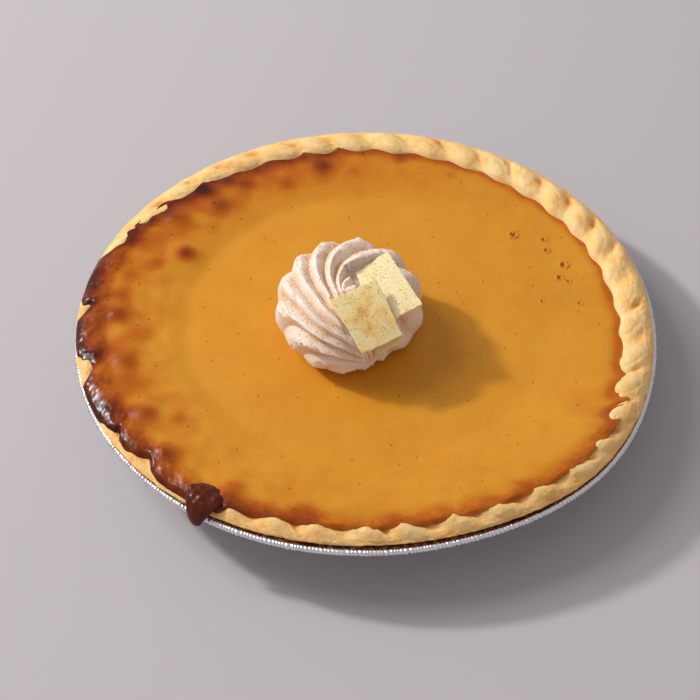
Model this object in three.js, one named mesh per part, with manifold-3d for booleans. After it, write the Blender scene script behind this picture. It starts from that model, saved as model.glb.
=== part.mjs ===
// Pumpkin pie in its foil tin, with one piped cream rosette and three thin plates of white chocolate.
// Millimetres, +Z up. The origin is the centre of the underside of the tin, and -Y is the front.

import * as THREE from 'three';
import * as BufferGeometryUtils from 'three/addons/utils/BufferGeometryUtils.js';
import Module from 'manifold-3d';

const wasm = await Module();
wasm.setup();

// Driving dimensions

const degree = Math.PI / 180;

// Foil tin: a thicker sheet stands in for the foil, with a rolled hem at its edge
const tinFloorRadius = 99.5;
const tinWallFoot = [102.9, 2.15];
const tinShoulder = [118, 25.5];
const tinSheet = 0.6;
const hemCentre = [127.2, 25.2];
const hemRadius = 1.3;
const tinSegments = 56;
const hemSteps = 8;

// The thin tin is pushed out of round at its front right, and the pie in it follows
const bulgeAt = [-42, 32];
const bulgePush = 4;
const bulgeRadii = [60, 118];
const bulgeHeights = [2, 28];

// Crust: one shell of shortcrust with a pinched rim
const crustThickness = 3;
const crustFloorRadius = 97;
const crustInnerFoot = [101.5, 6.2];
const crustUnderside = [[123.2, 26], [117.7, 25.9], [116.85, 24.6], [102.25, 2.5]];
const crustFootRadius = 99.2;
const fluteCount = 41;
const samplesPerFlute = 4;
const firstFluteAngle = 4.8;
const fluteSlantPerMm = 3 / 8;
const fluteDrift = 1.6;
const lobePush = 1.6;
const lobeLift = 0.6;
const pinchDepth = 1.1;
const frontDrop = 0.5;
const leftDrop = 1.2;
const frontShrink = 1.8;

// Filling: a level disc, a puffed ring that meets the crust, and what boiled over the rim
const fillingLevel = 27.4;
const levelRadius = 78;
const puffHeight = 1.2;
const levelCircles = [25, 54];
const puffCircles = [78, 85, 92, 98.5, 105];
const fillingFoot = [101.2, 6.9];
const fillingFloorRadius = 96.8;
const floorGap = 0.4;
const contactGap = 0.6;
const filmThickness = 0.9;
const notchReach = 0.5;
const steepestReach = 0.7;

// The drip at the front left: places on its route as radius and height
const dripAngle = -122.6;
const dripStart = [117.5, 31.2];
const dripShoulder = [131, 33.5];
const dripTip = [130.6, 21.2];
const dripSegments = [14, 10];
const dripWidth = [19, 11];
const dripThickness = 4.4;

// Cream rosette: a tall swirl of ridges, lower at its front right. Seen from above as a disc of radius 1,
// its ridges end on a short seam between the vortex and the front point.
const rosetteCentre = [-6.5, -5.5];
const rosetteRadius = 33;
const rosetteHeight = 32.5;
const rosetteBase = fillingLevel + 0.3;
const armCount = 14;
const samplesPerArm = 6;
const armDepth = 3;
const vortex = [-0.025, -0.134];
const frontPoint = [0.144, -0.666];
const seamTurn = 44;
const twistFast = 283.3;
const twistSlowing = 223.5;
const slumpSpot = [-52, 34];
const slumpHeight = 5;
const slumpRadius = 4;
const bulgeSpot = [-112, 30];
const bulgeRadius = 1.2;

// White chocolate
const plateThickness = 1.1;
const pressHeight = 16;

// What one piece keeps to its neighbour where it is cut to fit
const clearance = 0.4;

// Solids

function closed(geometry) {
  geometry.deleteAttribute('normal');
  geometry.deleteAttribute('uv');
  const merged = BufferGeometryUtils.mergeVertices(geometry, 1e-3);
  const corners = merged.index.array;
  const kept = [];
  for (let i = 0; i < corners.length; i += 3) {
    const [a, b, c] = [corners[i], corners[i + 1], corners[i + 2]];
    if (a !== b && b !== c && c !== a) kept.push(a, b, c);
  }
  merged.setIndex(kept);
  return merged;
}

// A closed skin over rings of points, from the top outward, under and back. A pole is a ring of one point.
// Neighbouring rings have equal counts, or one count is a whole multiple of the other. From the turning
// ring on, the quads are split along their other diagonal, so that an underside that lies on a surface
// has the same facets as that surface.
function skin(rings, turningRing = Infinity) {
  const starts = [];
  let next = 0;
  for (const ring of rings) {
    starts.push(next);
    next += ring.length;
  }
  const faces = [];
  for (let r = 0; r + 1 < rings.length; r += 1) {
    const mirrored = r >= turningRing && rings[r].length === rings[r + 1].length;
    joinRings(faces, starts[r], rings[r].length, starts[r + 1], rings[r + 1].length, mirrored);
  }
  const geometry = new THREE.BufferGeometry().setFromPoints(rings.flat());
  geometry.setIndex(faces);
  return closed(geometry);
}

function joinRings(faces, innerStart, innerCount, outerStart, outerCount, mirrored) {
  const coarse = Math.min(innerCount, outerCount);
  const innerStep = innerCount / coarse;
  const outerStep = outerCount / coarse;
  for (let i = 0; i < coarse; i += 1) {
    const inner = (k) => innerStart + ((i * innerStep + k) % innerCount);
    const outer = (k) => outerStart + ((i * outerStep + k) % outerCount);
    if (mirrored) {
      faces.push(inner(0), outer(0), inner(1), inner(1), outer(0), outer(1));
    } else {
      for (let k = 0; k < outerStep; k += 1) faces.push(inner(0), outer(k), outer(k + 1));
      for (let k = 0; k < innerStep; k += 1) faces.push(inner(k), outer(outerStep), inner(k + 1));
    }
  }
}

function toManifold(geometry) {
  const mesh = new wasm.Mesh({
    numProp: 3,
    vertProperties: Float32Array.from(geometry.attributes.position.array),
    triVerts: Uint32Array.from(geometry.index.array),
  });
  return new wasm.Manifold(mesh);
}

function fromManifold(solid) {
  const mesh = solid.getMesh();
  const geometry = new THREE.BufferGeometry();
  geometry.setAttribute('position', new THREE.Float32BufferAttribute(mesh.vertProperties, 3));
  geometry.setIndex(Array.from(mesh.triVerts));
  return geometry;
}

function at(radius, angle, height) {
  return new THREE.Vector3(radius * Math.cos(angle), radius * Math.sin(angle), height);
}

// Smooth steps and bumps

function smooth(value, from, to) {
  return THREE.MathUtils.smoothstep(value, from, to);
}

function angleBetween(a, b) {
  const turn = (a - b) / (2 * Math.PI);
  return (turn - Math.round(turn)) * 2 * Math.PI;
}

// One at the named angle, falling to nothing about one width away on either side
function bump(angle, centreDegrees, widthDegrees) {
  const away = angleBetween(angle, centreDegrees * degree) / (widthDegrees * degree);
  return Math.exp(-away * away * 2);
}

function outOfRound(geometry) {
  const spots = geometry.attributes.position;
  for (let i = 0; i < spots.count; i += 1) {
    const [x, y, z] = [spots.getX(i), spots.getY(i), spots.getZ(i)];
    const radius = Math.hypot(x, y);
    const share = smooth(radius, ...bulgeRadii) * smooth(z, ...bulgeHeights);
    const push = bulgePush * share * bump(Math.atan2(y, x), ...bulgeAt);
    const stretch = 1 + push / Math.max(radius, bulgeRadii[0]);
    spots.setXYZ(i, x * stretch, y * stretch, z);
  }
  return geometry;
}

// A value between 0 and 1 that belongs to one whole number
function chance(number) {
  const wave = Math.sin(number * 127.1 + 3.7) * 43758.5453;
  return wave - Math.floor(wave);
}

// A closed curve of values through a few angles, listed in rising order
function valuesRound(stops) {
  return (angle) => {
    const turn = THREE.MathUtils.euclideanModulo(angle / degree - stops[0][0], 360) + stops[0][0];
    let k = stops.length - 1;
    while (stops[k][0] > turn) k -= 1;
    const from = stops[k];
    const to = stops[(k + 1) % stops.length];
    const span = THREE.MathUtils.euclideanModulo(to[0] - from[0], 360);
    return THREE.MathUtils.lerp(from[1], to[1], smooth((turn - from[0]) / span, 0, 1));
  };
}

// Tin

function makeTin() {
  const along = new THREE.Vector2(tinShoulder[0] - tinWallFoot[0], tinShoulder[1] - tinWallFoot[1]);
  const outward = new THREE.Vector2(along.y, -along.x).normalize().multiplyScalar(tinSheet);
  const flangeUnder = tinShoulder[1] - tinSheet;
  const hemStart = Math.PI + Math.asin((hemCentre[1] - flangeUnder) / hemRadius);
  const hemEnd = 3 * Math.PI - Math.asin((tinShoulder[1] - hemCentre[1]) / hemRadius);
  const profile = [
    [0, 0],
    [tinFloorRadius + 0.2, 0],
    [tinWallFoot[0] + outward.x, tinWallFoot[1] + outward.y],
    [tinShoulder[0] + outward.x, flangeUnder],
  ];
  for (let i = 0; i <= hemSteps; i += 1) {
    const turn = THREE.MathUtils.lerp(hemStart, hemEnd, i / hemSteps);
    profile.push([hemCentre[0] + hemRadius * Math.cos(turn), hemCentre[1] + hemRadius * Math.sin(turn)]);
  }
  profile.push(tinShoulder, tinWallFoot, [tinFloorRadius, tinSheet], [0, tinSheet]);
  const points = profile.map(([radius, height]) => new THREE.Vector2(radius, height));
  const geometry = new THREE.LatheGeometry(points, tinSegments);
  geometry.rotateX(Math.PI / 2);
  return closed(geometry);
}

// Crust surface: stations run from the inner wall over the rim to the underside

const rimCurve = new THREE.SplineCurve([
  new THREE.Vector2(107.8, 15.5),
  new THREE.Vector2(110.4, 22),
  new THREE.Vector2(111.9, 26),
  new THREE.Vector2(113.4, 29),
  new THREE.Vector2(116, 31),
  new THREE.Vector2(119.3, 31.6),
  new THREE.Vector2(122.6, 30.9),
  new THREE.Vector2(125.4, 29.2),
  new THREE.Vector2(126.8, 27.9),
  new THREE.Vector2(126.2, 27),
]);
const rimStations = 8;
const topStation = 4;

function fluteStrength(angle, number) {
  const weakBackLeft = 1 - 0.75 * bump(angle, 138, 30);
  return weakBackLeft * (0.75 + 0.5 * chance(number));
}

// Station -1 is on the inner wall, 0 to 7 are on the rim, and 8 is just under its outer edge.
// Fluting of 1 gives the pinched rim, and 0 gives the plain rim before pinching.
function rimPoint(station, sample, lift = 0, fluting = 1) {
  const [spot, angle] = rimSpot(station, sample, fluting);
  if (lift === 0) return at(spot.x, angle, spot.y);
  const [before] = rimSpot(Math.max(station - 0.1, -1), sample, fluting);
  const [after] = rimSpot(Math.min(station + 0.1, rimStations), sample, fluting);
  const tangent = after.clone().sub(before).normalize();
  return at(spot.x - tangent.y * lift, angle, spot.y + tangent.x * lift);
}

function rimSpot(station, sample, fluting) {
  const spot = rimCurve.getPoint((station + 1) / (rimStations + 1));
  const flute = sample / samplesPerFlute;
  const number = Math.round(flute);
  const slant = fluteSlantPerMm * (Math.max(spot.x, 112) - 118);
  const drift = fluteDrift * (chance(number + 60) - 0.5);
  const angle = (firstFluteAngle + flute * (360 / fluteCount) + slant + drift) * degree;
  const lobe = 0.5 + 0.5 * Math.cos(flute * 2 * Math.PI);
  const strength = fluteStrength(angle, number) * fluting;
  const inner = smooth(station, -0.5, 1.5) * (1 - smooth(station, 2.5, 5));
  const crown = smooth(station, 0.5, 2.5) * (1 - smooth(station, 4.5, 7));
  const crease = smooth(station, 1.8, 3.4) * (1 - smooth(station, 4.2, 6));
  spot.x -= lobePush * inner * lobe * strength;
  spot.y += lobeLift * crown * (2 * lobe - 1) * strength;
  spot.y -= pinchDepth * crease * (1 - lobe) ** 3 * strength;
  spot.y -= crown * (frontDrop * bump(angle, -90, 60) + leftDrop * bump(angle, 185, 45));
  spot.x -= frontShrink * smooth(station, 3, 7) * bump(angle, -85, 60);
  return [spot, angle];
}

const fluteSamples = fluteCount * samplesPerFlute;
const wallSamples = fluteCount * 2;
const floorSamples = fluteCount;

function rimRing(station, lift = 0) {
  return Array.from({ length: fluteSamples }, (_, sample) => rimPoint(station, sample, lift));
}

// A plain circle whose points follow the first flute's angle
function circle(radius, height, count) {
  const slant = fluteSlantPerMm * (Math.max(radius, 112) - 118);
  return Array.from({ length: count }, (_, i) => {
    const angle = (firstFluteAngle + slant + (i * 360) / count) * degree;
    return at(radius, angle, height);
  });
}

const crustFloorUnder = tinSheet + 0.35;
const crustFloorTop = crustFloorUnder + crustThickness;

function makeCrust() {
  const rings = [
    [at(0, 0, crustFloorTop)],
    circle(crustFloorRadius, crustFloorTop, wallSamples),
    circle(...crustInnerFoot, wallSamples),
  ];
  for (let station = -1; station <= rimStations - 1; station += 1) rings.push(rimRing(station));
  for (const spot of crustUnderside) rings.push(circle(...spot, wallSamples));
  rings.push(circle(crustFootRadius, crustFloorUnder, wallSamples));
  rings.push([at(0, 0, crustFloorUnder)]);
  return skin(rings);
}

// Filling: how far out it reaches on the rim, as a station at each angle

const reachRound = valuesRound([
  [-176, 6.6],
  [-166, 6.5],
  [-162.5, 4.2],
  [-158, 6.4],
  [-150, 6.5],
  [-144.4, 4.3],
  [-140, 5.2],
  [-136, 4.2],
  [-131, 5.8],
  [-124, 6.2],
  [-116, 5.7],
  [-106, 4.5],
  [-91, 3.9],
  [-66, 3.9],
  [-40, 3.6],
  [-20, 2.8],
  [-3, 2.1],
  [10, 1.3],
  [45, 1.2],
  [66, 1.5],
  [84, 1.9],
  [95, 2.4],
  [122, 2.7],
  [130, 3.4],
  [155, 3.9],
  [160, 4],
  [166, 6.4],
  [176, 6.5],
  [180, 4.4],
]);

function plainReach(sample) {
  return reachRound((firstFluteAngle + ((sample / samplesPerFlute) * 360) / fluteCount) * degree);
}

function flutedReach(sample) {
  const lobe = 0.5 + 0.5 * Math.cos((sample / samplesPerFlute) * 2 * Math.PI);
  const overflowing = smooth(plainReach(sample), 3, 4.4);
  return Math.min(plainReach(sample) + notchReach * (1 - 2 * lobe) * overflowing, 6.7);
}

// Each low spot is raised until neighbours differ by no more than the steepest step
function makeWetStations() {
  const reach = Array.from({ length: fluteSamples }, (_, sample) => flutedReach(sample));
  for (let pass = 0; pass < samplesPerFlute; pass += 1) {
    for (let i = 0; i < fluteSamples; i += 1) {
      const before = reach[(i + fluteSamples - 1) % fluteSamples];
      const after = reach[(i + 1) % fluteSamples];
      reach[i] = Math.max(reach[i], before - steepestReach, after - steepestReach);
    }
  }
  return reach;
}

const wetStations = makeWetStations();

// Domes that the boiling filling left near its edge: angle, radius, width and height
const blisters = [
  [179, 110, 7, 2.2],
  [152.5, 91, 9, 1.6],
  [143.5, 108, 7, 1.4],
  [132.5, 100, 8, 1.5],
  [131, 110, 6, 1],
  [103, 101, 8, 0.9],
  [-166.5, 108, 8, 1.8],
  [-149, 109, 8, 1.6],
  [-137, 114, 7.5, 2.4],
  [-119, 111, 7, 1.2],
];

function levelAt(radius, angle, brimRadius, brimHeight) {
  const rise = smooth(radius, levelRadius, Math.max(brimRadius, 109));
  const left = 0.5 - 0.5 * Math.cos(angle - 20 * degree);
  const puff = puffHeight * left * smooth(radius, levelRadius, 88) * (1 - smooth(radius, 92, brimRadius));
  let height = fillingLevel + (brimHeight - fillingLevel) * rise + puff;
  for (const [blisterAngle, blisterRadius, width, lift] of blisters) {
    const across = blisterRadius * angleBetween(angle, blisterAngle * degree);
    const away = Math.hypot(across, radius - blisterRadius) / width;
    height += lift * Math.exp(-away * away * 2);
  }
  return height;
}

// The brim is where the filling meets the crust, or the top of the rim where it runs over
function brimAt(sample) {
  const brim = rimPoint(Math.min(plainReach(sample), topStation), sample, contactGap, 0);
  return [Math.hypot(brim.x, brim.y), brim.z];
}

function fillingRing(radius, count) {
  const step = fluteSamples / count;
  return circle(radius, 0, count).map((point, i) => {
    const angle = Math.atan2(point.y, point.x);
    const [brimRadius, brimHeight] = brimAt(i * step);
    return at(radius, angle, levelAt(radius, angle, brimRadius, brimHeight));
  });
}

function wetRing(station, onTop) {
  return Array.from({ length: fluteSamples }, (_, sample) => {
    const wet = wetStations[sample];
    if (station >= wet) return rimPoint(wet, sample, contactGap);
    if (!onTop) return rimPoint(station, sample, contactGap);
    const film = filmThickness * Math.sqrt(1 - smooth(station, wet - 2, wet)) + 0.15;
    const point = rimPoint(station, sample, contactGap + film);
    const angle = Math.atan2(point.y, point.x);
    const [brimRadius, brimHeight] = brimAt(sample);
    const level = levelAt(Math.hypot(point.x, point.y), angle, brimRadius, brimHeight);
    if (station < topStation) point.z = Math.max(point.z, level);
    return point;
  });
}

function makeFilling() {
  const rings = [[at(0, 0, fillingLevel)]];
  for (const radius of levelCircles) rings.push(circle(radius, fillingLevel, floorSamples));
  for (const radius of puffCircles) rings.push(fillingRing(radius, wallSamples));
  for (let station = 1; station < 7; station += 1) rings.push(wetRing(station, true));
  const turningRing = rings.length;
  for (let station = 7; station >= 0; station -= 1) rings.push(wetRing(station, false));
  rings.push(rimRing(-1, contactGap));
  rings.push(circle(...fillingFoot, wallSamples));
  rings.push(circle(fillingFloorRadius, crustFloorTop + floorGap, wallSamples));
  rings.push([at(0, 0, crustFloorTop + floorGap)]);
  return fromManifold(toManifold(skin(rings, turningRing)).add(makeDrip()));
}

// A thick drip that ran over the rim and the hem, cut clear of both
function makeDrip() {
  const route = new THREE.QuadraticBezierCurve(
    new THREE.Vector2(...dripStart),
    new THREE.Vector2(...dripShoulder),
    new THREE.Vector2(...dripTip),
  );
  const drop = new THREE.SphereGeometry(1, ...dripSegments);
  const spots = drop.attributes.position;
  for (let i = 0; i < spots.count; i += 1) {
    const along = 0.5 - 0.5 * spots.getY(i);
    const spot = route.getPoint(along);
    const tangent = route.getTangent(along);
    const width = THREE.MathUtils.lerp(dripWidth[0], dripWidth[1], smooth(along, 0.1, 0.9)) / 2;
    const across = spots.getX(i) * width;
    const outward = spots.getZ(i) * (dripThickness / 2);
    const radius = spot.x - tangent.y * outward;
    const angle = dripAngle * degree + across / radius;
    const height = spot.y + tangent.x * outward;
    spots.setXYZ(i, radius * Math.cos(angle), radius * Math.sin(angle), height);
  }
  const rimCover = [0, 1, 2, 3, 4, 5, 6, 7].map((station) => rimRing(station, clearance));
  const rim = skin([[at(0, 0, 22)], ...rimCover, [at(0, 0, 0)]]);
  const solid = toManifold(closed(drop)).subtract(toManifold(rim));
  return solid.subtract(toManifold(makeHemCover()));
}

function makeHemCover() {
  const [centreRadius, centreHeight] = hemCentre;
  const reach = hemRadius + clearance;
  const quarterSteps = 4;
  const profile = [[0, 0], [centreRadius + reach, 0]];
  for (let i = 0; i <= quarterSteps; i += 1) {
    const turn = (i / quarterSteps) * (Math.PI / 2);
    profile.push([centreRadius + reach * Math.cos(turn), centreHeight + reach * Math.sin(turn)]);
  }
  profile.push([0, centreHeight + reach]);
  const points = profile.map(([radius, height]) => new THREE.Vector2(radius, height));
  const cover = new THREE.LatheGeometry(points, 2 * tinSegments);
  cover.rotateX(Math.PI / 2);
  return closed(cover);
}

// White chocolate plates: a thin sheet over four corners, bowed along its length

function makePlateSheet({ corners, bow }, under, over, grow) {
  const sheet = new THREE.BoxGeometry(1, 1, 1, 4, 6, 1);
  const spots = sheet.attributes.position;
  const middle = new THREE.Vector2();
  for (const [x, y] of corners) middle.add(new THREE.Vector2(x / 4, y / 4));
  const [frontLeft, frontRight, backRight, backLeft] = corners.map(([x, y]) => {
    const away = new THREE.Vector2(x, y).sub(middle);
    return away.clone().add(away.clone().normalize().multiplyScalar(grow * Math.SQRT2)).add(middle);
  });
  for (let i = 0; i < spots.count; i += 1) {
    const u = spots.getX(i) + 0.5;
    const v = spots.getY(i) + 0.5;
    const front = frontLeft.clone().lerp(frontRight, u);
    const spot = front.lerp(backLeft.clone().lerp(backRight, u), v);
    const bend = -bow * (2 * v - 1) ** 2;
    spots.setXYZ(i, spot.x, spot.y, bend + (spots.getZ(i) > 0 ? over : -under));
  }
  return closed(sheet);
}

const plates = [
  {
    name: 'chocolate_plate_front',
    corners: [[-9.5, -14], [9.8, -13.6], [11.2, 14.2], [-11.6, 13.6]],
    bow: 0.9,
    position: [1.3, -25.7, 55.9],
    tilt: { heading: 28.6, pitch: 21.7, roll: -5.2 },
  },
  {
    name: 'chocolate_plate_back',
    corners: [[-11, -17], [9.5, -16.6], [9.2, 16.6], [-8, 13.5]],
    bow: 0.5,
    position: [9.2, -7.6, 55.5],
    tilt: { heading: 25.3, pitch: 5.5, roll: -12 },
  },
  {
    name: 'chocolate_plate_under',
    corners: [[-6.5, -5.5], [6.5, -5.5], [6.7, 6], [-6, 6]],
    bow: 0.5,
    position: [9, -28.5, 46.5],
    tilt: { heading: 27.9, pitch: 12.9, roll: -20.8 },
  },
];

function placed(object, { position, tilt }) {
  object.position.fromArray(position);
  object.rotation.set(tilt.pitch * degree, tilt.roll * degree, tilt.heading * degree, 'ZXY');
  object.updateMatrixWorld();
  return object;
}

// Cream rosette

const rosetteProfile = new THREE.SplineCurve([
  new THREE.Vector2(0, 0.975),
  new THREE.Vector2(0.2, 0.985),
  new THREE.Vector2(0.42, 1),
  new THREE.Vector2(0.64, 0.97),
  new THREE.Vector2(0.82, 0.89),
  new THREE.Vector2(0.93, 0.76),
  new THREE.Vector2(0.985, 0.59),
  new THREE.Vector2(1, 0.4),
  new THREE.Vector2(0.97, 0.22),
  new THREE.Vector2(0.88, 0.08),
  new THREE.Vector2(0.78, 0),
]);
const rosetteRings = 13;
const rosetteSamples = armCount * samplesPerArm;

// The clockwise turn of a ridge at this share of its way from the seam to the foot
function twistAt(share) {
  const turning = Math.min(share, twistFast / (2 * twistSlowing));
  return twistFast * turning - twistSlowing * turning * turning;
}

// Where a sample lies on the disc: rings open from the seam, with share 0, to the foot, with share 1
function discSpot(share, sample) {
  const start = new THREE.Vector2(...vortex);
  const end = new THREE.Vector2(...frontPoint);
  const middle = start.clone().lerp(end, 0.5);
  const halfSeam = end.clone().sub(middle);
  const seamAngle = halfSeam.angle();
  const turn = (((sample + seamTurn) * 360) / rosetteSamples - twistAt(share)) * degree;
  const onSeam = middle.addScaledVector(halfSeam, Math.cos(turn));
  const onFoot = new THREE.Vector2(Math.cos(turn + seamAngle), Math.sin(turn + seamAngle));
  return onSeam.lerp(onFoot, share);
}

function rosettePoint(share, sample) {
  const disc = discSpot(share, sample);
  const along = Math.min(disc.length(), 1);
  const angle = disc.angle();
  const spot = rosetteProfile.getPoint(along);
  const tangent = rosetteProfile.getTangent(along);
  const arm = sample / samplesPerArm;
  const fromCrest = 2 * Math.abs(arm - Math.round(arm));
  const fade = smooth(share, 0, 0.2) * (1 - 0.65 * smooth(share, 0.45, 0.85));
  const groove = armDepth * fade * fromCrest ** 1.2;
  const slump = bump(angle, ...slumpSpot);
  const reach = rosetteRadius - slumpRadius * slump + bulgeRadius * bump(angle, ...bulgeSpot);
  const top = rosetteHeight - slumpHeight * slump * smooth(spot.x, 0.2, 0.7);
  const height = spot.y * top - tangent.x * groove;
  const point = at(spot.x * reach + tangent.y * groove, angle, rosetteBase + Math.max(height, 0));
  point.x += rosetteCentre[0];
  point.y += rosetteCentre[1];
  return point;
}

function makeRosette() {
  const rings = Array.from({ length: rosetteRings }, (_, r) => {
    const share = r / (rosetteRings - 1);
    return Array.from({ length: rosetteSamples }, (_, sample) => rosettePoint(share, sample));
  });
  for (const point of rings[rosetteRings - 1]) point.z = rosetteBase;
  rings.push([new THREE.Vector3(...rosetteCentre, rosetteBase)]);
  let solid = toManifold(skin(rings));
  for (const plate of plates) {
    const pressed = makePlateSheet(plate, plateThickness / 2 + clearance, pressHeight, clearance);
    pressed.applyMatrix4(placed(new THREE.Object3D(), plate).matrixWorld);
    solid = solid.subtract(toManifold(pressed));
  }
  const pieces = solid.decompose().sort((a, b) => b.volume() - a.volume());
  return fromManifold(pieces[0]);
}

// Parts

function part(name, geometry, color, roughness, metalness = 0) {
  const flat = geometry.index ? geometry.toNonIndexed() : geometry;
  flat.computeVertexNormals();
  const mesh = new THREE.Mesh(flat, new THREE.MeshStandardMaterial({ color, roughness, metalness }));
  mesh.name = name;
  return mesh;
}

const group = new THREE.Group();
group.add(part('tin', outOfRound(makeTin()), 0xc9cacc, 0.3, 1));
group.add(part('crust', outOfRound(makeCrust()), 0xdda662, 0.75));
group.add(part('filling', outOfRound(makeFilling()), 0xc8812f, 0.35));
group.add(part('cream_rosette', makeRosette(), 0xf5e6d8, 0.6));
for (const plate of plates) {
  const sheet = makePlateSheet(plate, plateThickness / 2, plateThickness / 2, 0);
  group.add(placed(part(plate.name, sheet, 0xf0dfae, 0.4), plate));
}

export default group;
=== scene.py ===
# %% [markdown]
# A pumpkin pie in its foil tin. The imported solids carry the sizes: a tin 257 mm across, a crust with 41
# pinched flutes, a custard filling that ran over the rim at the left, one rosette of whipped cream, and
# three thin plates of white chocolate. Solids are plain on purpose, so this script lays finer skins over
# the same shapes and gives each one its finish. It begins by loading the solids as a frame that never
# moves.

# %% Load the imported solids
import math
import random

import bmesh
import bpy
import numpy as np
from mathutils import Matrix, Vector, noise
from mathutils.bvhtree import BVHTree


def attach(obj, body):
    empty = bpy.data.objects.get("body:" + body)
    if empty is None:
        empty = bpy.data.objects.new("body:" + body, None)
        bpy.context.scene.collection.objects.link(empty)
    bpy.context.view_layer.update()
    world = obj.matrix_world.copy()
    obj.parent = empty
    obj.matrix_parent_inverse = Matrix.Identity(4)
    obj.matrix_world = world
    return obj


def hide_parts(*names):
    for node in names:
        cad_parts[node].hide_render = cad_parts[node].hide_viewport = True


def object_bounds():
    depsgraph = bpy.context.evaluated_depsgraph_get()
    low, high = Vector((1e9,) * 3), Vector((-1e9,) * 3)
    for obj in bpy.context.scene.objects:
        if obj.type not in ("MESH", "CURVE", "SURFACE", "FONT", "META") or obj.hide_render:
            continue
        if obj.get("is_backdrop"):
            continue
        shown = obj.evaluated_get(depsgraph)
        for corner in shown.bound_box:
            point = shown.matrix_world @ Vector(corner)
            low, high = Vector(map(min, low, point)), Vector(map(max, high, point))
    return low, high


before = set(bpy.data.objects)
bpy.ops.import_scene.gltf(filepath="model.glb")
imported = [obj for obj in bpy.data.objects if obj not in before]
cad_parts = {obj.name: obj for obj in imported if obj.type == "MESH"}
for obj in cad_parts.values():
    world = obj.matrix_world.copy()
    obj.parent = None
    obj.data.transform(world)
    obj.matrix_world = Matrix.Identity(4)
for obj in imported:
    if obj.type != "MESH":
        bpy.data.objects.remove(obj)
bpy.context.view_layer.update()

MM = 0.001
chances = random.Random(41)

# %% [markdown]
# Every round piece here is made in the same way, like a map that is rolled into a ball. A flat grid is made
# first, and then each of its points is laid where it belongs on the real surface. Its place across the grid
# says how far along the cross-section it is, and its place up the grid says where it is round the pie. That
# keeps the mesh even, and the shape itself stays a short function of two numbers that can be read and
# changed. A spin would make the same rings, but takes far longer with a thousand steps.

# %% Helpers for smooth steps, bumps and noise
def smooth(value, start, end):
    """0 up to the start, 1 from the end on, and a soft step between them."""
    share = np.clip((value - start) / (end - start), 0, 1)
    return share * share * (3 - 2 * share)


def angle_between(a, b):
    return (a - b + np.pi) % (2 * np.pi) - np.pi


def bump(angle, centre, width):
    """1 at a direction in degrees, fading to both sides over about this width."""
    away = angle_between(angle, np.radians(centre)) / np.radians(width)
    return np.exp(-2 * away**2)


def lumps(points, size, seed=0.0):
    """Noise from about -1 to 1 whose lumps are that many millimetres across."""
    return np.array([noise.noise(spot) for spot in (points / size + seed).tolist()])


def bubbles(points, size, seed=0.0):
    """Round domes, 0 between them and 1 on top, about that many millimetres across."""
    found = [noise.voronoi(spot)[0][0] for spot in (points / size + seed).tolist()]
    return np.clip(1 - (np.array(found) / 0.62) ** 2, 0, 1)


def polar(radius, angle, height):
    """Places from a distance, a direction and a height."""
    return np.stack([radius * np.cos(angle), radius * np.sin(angle), height], -1)


BULGE_PUSH, BULGE_AT, BULGE_WIDTH = 4, -42, 32
BULGE_RADII, BULGE_HEIGHTS = (60, 118), (2, 28)


def out_of_round(places):
    """The soft tin and all in it are pushed out a few millimetres at the front right."""
    radius = np.hypot(places[:, 0], places[:, 1])
    push = BULGE_PUSH * smooth(radius, *BULGE_RADII) * smooth(places[:, 2], *BULGE_HEIGHTS)
    push = push * bump(np.arctan2(places[:, 1], places[:, 0]), BULGE_AT, BULGE_WIDTH)
    stretch = 1 + push / np.maximum(radius, BULGE_RADII[0])
    return places * np.stack([stretch, stretch, np.ones_like(stretch)], -1)


print("a soft step from 0 to 10 passes", smooth(np.arange(0, 11, 2), 0, 10).round(2))

# %% [markdown]
# These helpers make the flat map, divide it further where fine relief is needed, and lay it on the shape.
# The last one turns a mesh into a finished piece, and takes the values that its material needs at each
# point.

# %% Helpers that make a map and lay it down
def flat_map(rings, count):
    """A grid whose x is one of these ring values and whose y is an angle once round the pie."""
    mesh = bmesh.new()
    bmesh.ops.create_grid(mesh, x_segments=len(rings) - 1, y_segments=count, size=1)
    for vert in mesh.verts:
        column = (vert.co.x + 1) / 2 * (len(rings) - 1)
        vert.co = (np.interp(column, range(len(rings)), rings), vert.co.y * math.pi, 0)
    return mesh


def refine(mesh, chosen, cuts=1):
    """Divides every edge of the faces of a flat map whose middles are chosen."""
    edges = list({e for f in mesh.faces if chosen(f.calc_center_median()) for e in f.edges})
    bmesh.ops.subdivide_edges(mesh, edges=edges, cuts=cuts, use_grid_fill=True)


def rings_and_turns(mesh):
    flat = np.array([vert.co[:2] for vert in mesh.verts])
    return flat[:, 0], flat[:, 1]


def lay(mesh, places):
    """Moves the points to these places, in millimetres."""
    for vert, place in zip(mesh.verts, (places * MM).tolist()):
        vert.co = place


def to_piece(name, mesh, material, values=None):
    """A finished piece from a mesh: doubles merged, faces outward, shaded smooth."""
    layers = {}
    for key, numbers in (values or {}).items():
        layers[key] = mesh.verts.layers.float.new(key)
        for vert, number in zip(mesh.verts, numbers):
            vert[layers[key]] = number
    bmesh.ops.remove_doubles(mesh, verts=mesh.verts, dist=1e-6)
    bmesh.ops.dissolve_degenerate(mesh, edges=mesh.edges, dist=1e-7)
    bmesh.ops.recalc_face_normals(mesh, faces=mesh.faces)
    for face in mesh.faces:
        face.smooth = True
    data = bpy.data.meshes.new(name)
    mesh.to_mesh(data)
    mesh.free()
    piece = bpy.data.objects.new(name, data)
    bpy.context.scene.collection.objects.link(piece)
    data.materials.append(material)
    data.calc_loop_triangles()
    print(name, "has", len(data.loop_triangles), "triangles")
    return piece


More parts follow.
